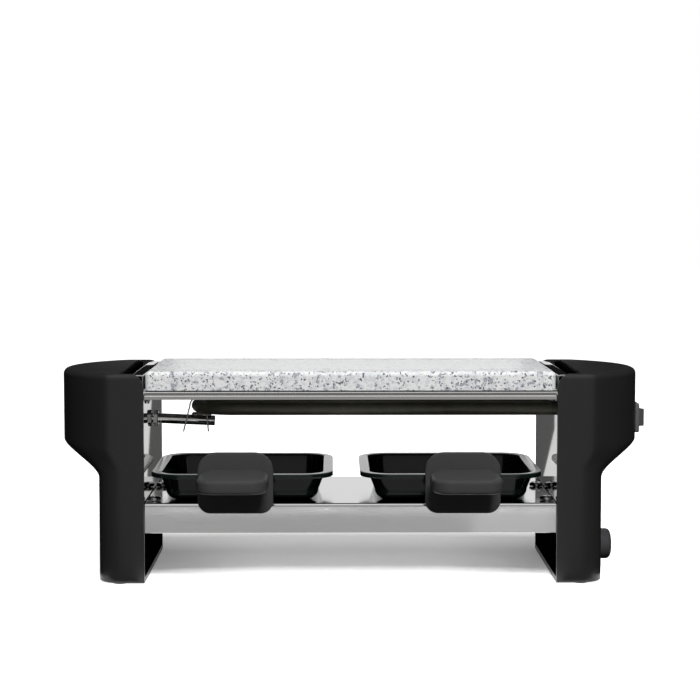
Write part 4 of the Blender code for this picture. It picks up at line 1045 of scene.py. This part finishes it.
def makeWorld():
    # white where it is seen directly, a weak ambient light elsewhere
    sky = {"ambient": 0.1, "seen": 1.0}
    world = bpy.data.worlds.new("paleStudio")
    bpy.context.scene.world = world
    world.use_nodes = True
    tree = world.node_tree
    background = tree.nodes["Background"]
    background.inputs["Color"].default_value = (1, 1, 1, 1)
    level = rangeNode(tree, seenDirectly(tree), sky["ambient"], sky["seen"])
    feed(background.inputs["Strength"], level)


def makeCard(name, points, tone):
    # a studio card that only shows as a reflection in the plastic and the steel
    card = makeQuad(name, (points + shift).tolist())
    cloth, tree, shader = newMaterial(name, {
        "Base Color": (0, 0, 0, 1), "Specular IOR Level": 0.0, "Emission Color": (1, 1, 1, 1)})
    drift = grainOutputs(tree, "moulded", (40.0, 3.0))["Drift"]
    feed(shader["Emission Strength"], rangeNode(tree, drift, tone * 0.85, tone * 1.15))
    card.data.materials.append(cloth)
    card.visible_camera = False
    card.visible_diffuse = False
    card.visible_shadow = False
    card.visible_transmission = False


def makeCards():
    # the tone and the four corners of every card; those that come in pairs are mirrored in x
    lift, fronts = 0.001, {"left": -1.2, "right": -0.6}
    for hand, side in hands:
        start = fronts[hand]
        pairs = {
            "SideCard": (0.012, [(0.42, start, 0), (0.42, 2.2, 0), (0.42, 2.2, 1), (0.42, start, 1)]),
            "FloorCard": (0.012, atHeight([(0.18, 0.14), (0.26, 2.2), (0.42, 2.2), (0.42, -0.25)], lift)),
            "DeckCard": (0.012, [(0.1, 0.13, 0.112), (0.42, 0.13, 0.112), (0.42, 0.13, 0.9),
                                 (0.13, 0.13, 0.9)]),
            "NearCard": (0.02, atHeight([(0.132, 0.16), (0.132, -0.0005), (0.42, -1.2), (0.42, 0.16)],
                                        3 * lift)),
            "LegCard": (0.02, atHeight([(0.108, -0.0005), (0.152, -0.35), (0.3, -0.35), (0.3, -0.0005)],
                                       2 * lift)),
        }
        for name, (tone, points) in pairs.items():
            makeCard(hand + name, np.array(points) * (side, 1, 1), tone)
    # on the floor: what the rails and the tray's lip mirror, nearer the grill from row to row
    plans = {
        "railFloorCard": (0.17, [(-0.6, -1.8), (0.6, -1.8), (0.6, -0.55), (-0.6, -0.55)]),
        "railLowFloorCard": (0.32, [(-0.5, -0.54), (0.5, -0.54), (0.5, -0.25), (-0.5, -0.25)]),
        "lipFloorCard": (0.5, [(-0.3, -0.24), (0.079, -0.24), (0.0645, -0.02), (-0.3, -0.02)]),
        "lipRightFloorCard": (0.67, [(0.079, -0.24), (0.3, -0.24), (0.3, -0.02), (0.0645, -0.02)]),
        "paleFloorCard": (0.9, [(-0.17, 0.16), (-0.17, 2), (0.17, 2), (0.17, 0.16)]),
    }
    for name, (tone, plan) in plans.items():
        makeCard(name, atHeight(plan, lift), tone)
    # upright at one depth; the plates' cards give the darker back part of each side plate
    uprights = {
        "frontCard": (0.44, -2.4, [(-1.5, 0), (1.5, 0), (1.5, 2.4), (-1.5, 2.4)]),
        "leftPlateCard": (0.118, 0.3, [(-0.12, 0), (-0.0749, 0), (-0.0806, 0.09), (-0.12, 0.09)]),
        "rightPlateLowCard": (0.118, 0.3, [(0.12, 0), (0.0802, 0), (0.0699, 0.045), (0.12, 0.045)]),
        "rightPlateHighCard": (0.118, 0.3, [(0.12, 0.045), (0.0699, 0.045), (0.0697, 0.09), (0.12, 0.09)]),
    }
    for name, (tone, y, face) in uprights.items():
        makeCard(name, np.array([(x, y, z) for x, z in face]), tone)


def makeLamps():
    # soft boxes that turn to their target and don't show in reflections
    target = (0, 0.02, 0.05)
    lamps = {
        "frontSoftbox": {"place": (0.2, -1.25, 1.2), "size": (0.45, 0.3), "power": 36},
        "overheadSoftbox": {"place": (0.1, -0.25, 1.4), "size": (0.9, 0.6), "power": 6},
    }
    for name, box in lamps.items():
        lamp = bpy.data.lights.new(name, "AREA")
        lamp.shape = "RECTANGLE"
        lamp.size, lamp.size_y = box["size"]
        lamp.energy = box["power"]
        made = addObject(name, lamp)
        made.location = box["place"]
        direction = np.array(target) - np.array(box["place"])
        flat = math.hypot(direction[0], direction[1])
        made.rotation_euler = (math.atan2(flat, -direction[2]), 0, math.atan2(-direction[0], direction[1]))
        made.visible_glossy = False


def makeCamera():
    # found from the photograph's vanishing lines and the housings' edges; focal length in pixels
    view = {"place": (-0.0086, -0.9125, 0.1850), "yaw": 0.517, "pitch": 4.065, "focal": 1812.0,
            "width": 700}
    camera = bpy.data.cameras.new("camera")
    camera.lens = camera.sensor_width * view["focal"] / view["width"]
    camera.clip_start = 0.01
    made = addObject("camera", camera)
    made.location = np.array(view["place"]) + shift
    made.rotation_euler = (math.radians(90 - view["pitch"]), 0, -math.radians(view["yaw"]))
    bpy.context.scene.camera = made


makeFloor()
makeWorld()
makeCards()
makeLamps()
makeCamera()
bpy.context.scene.view_settings.view_transform = "Standard"
report("studio made")

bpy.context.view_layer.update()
report("boxes written")
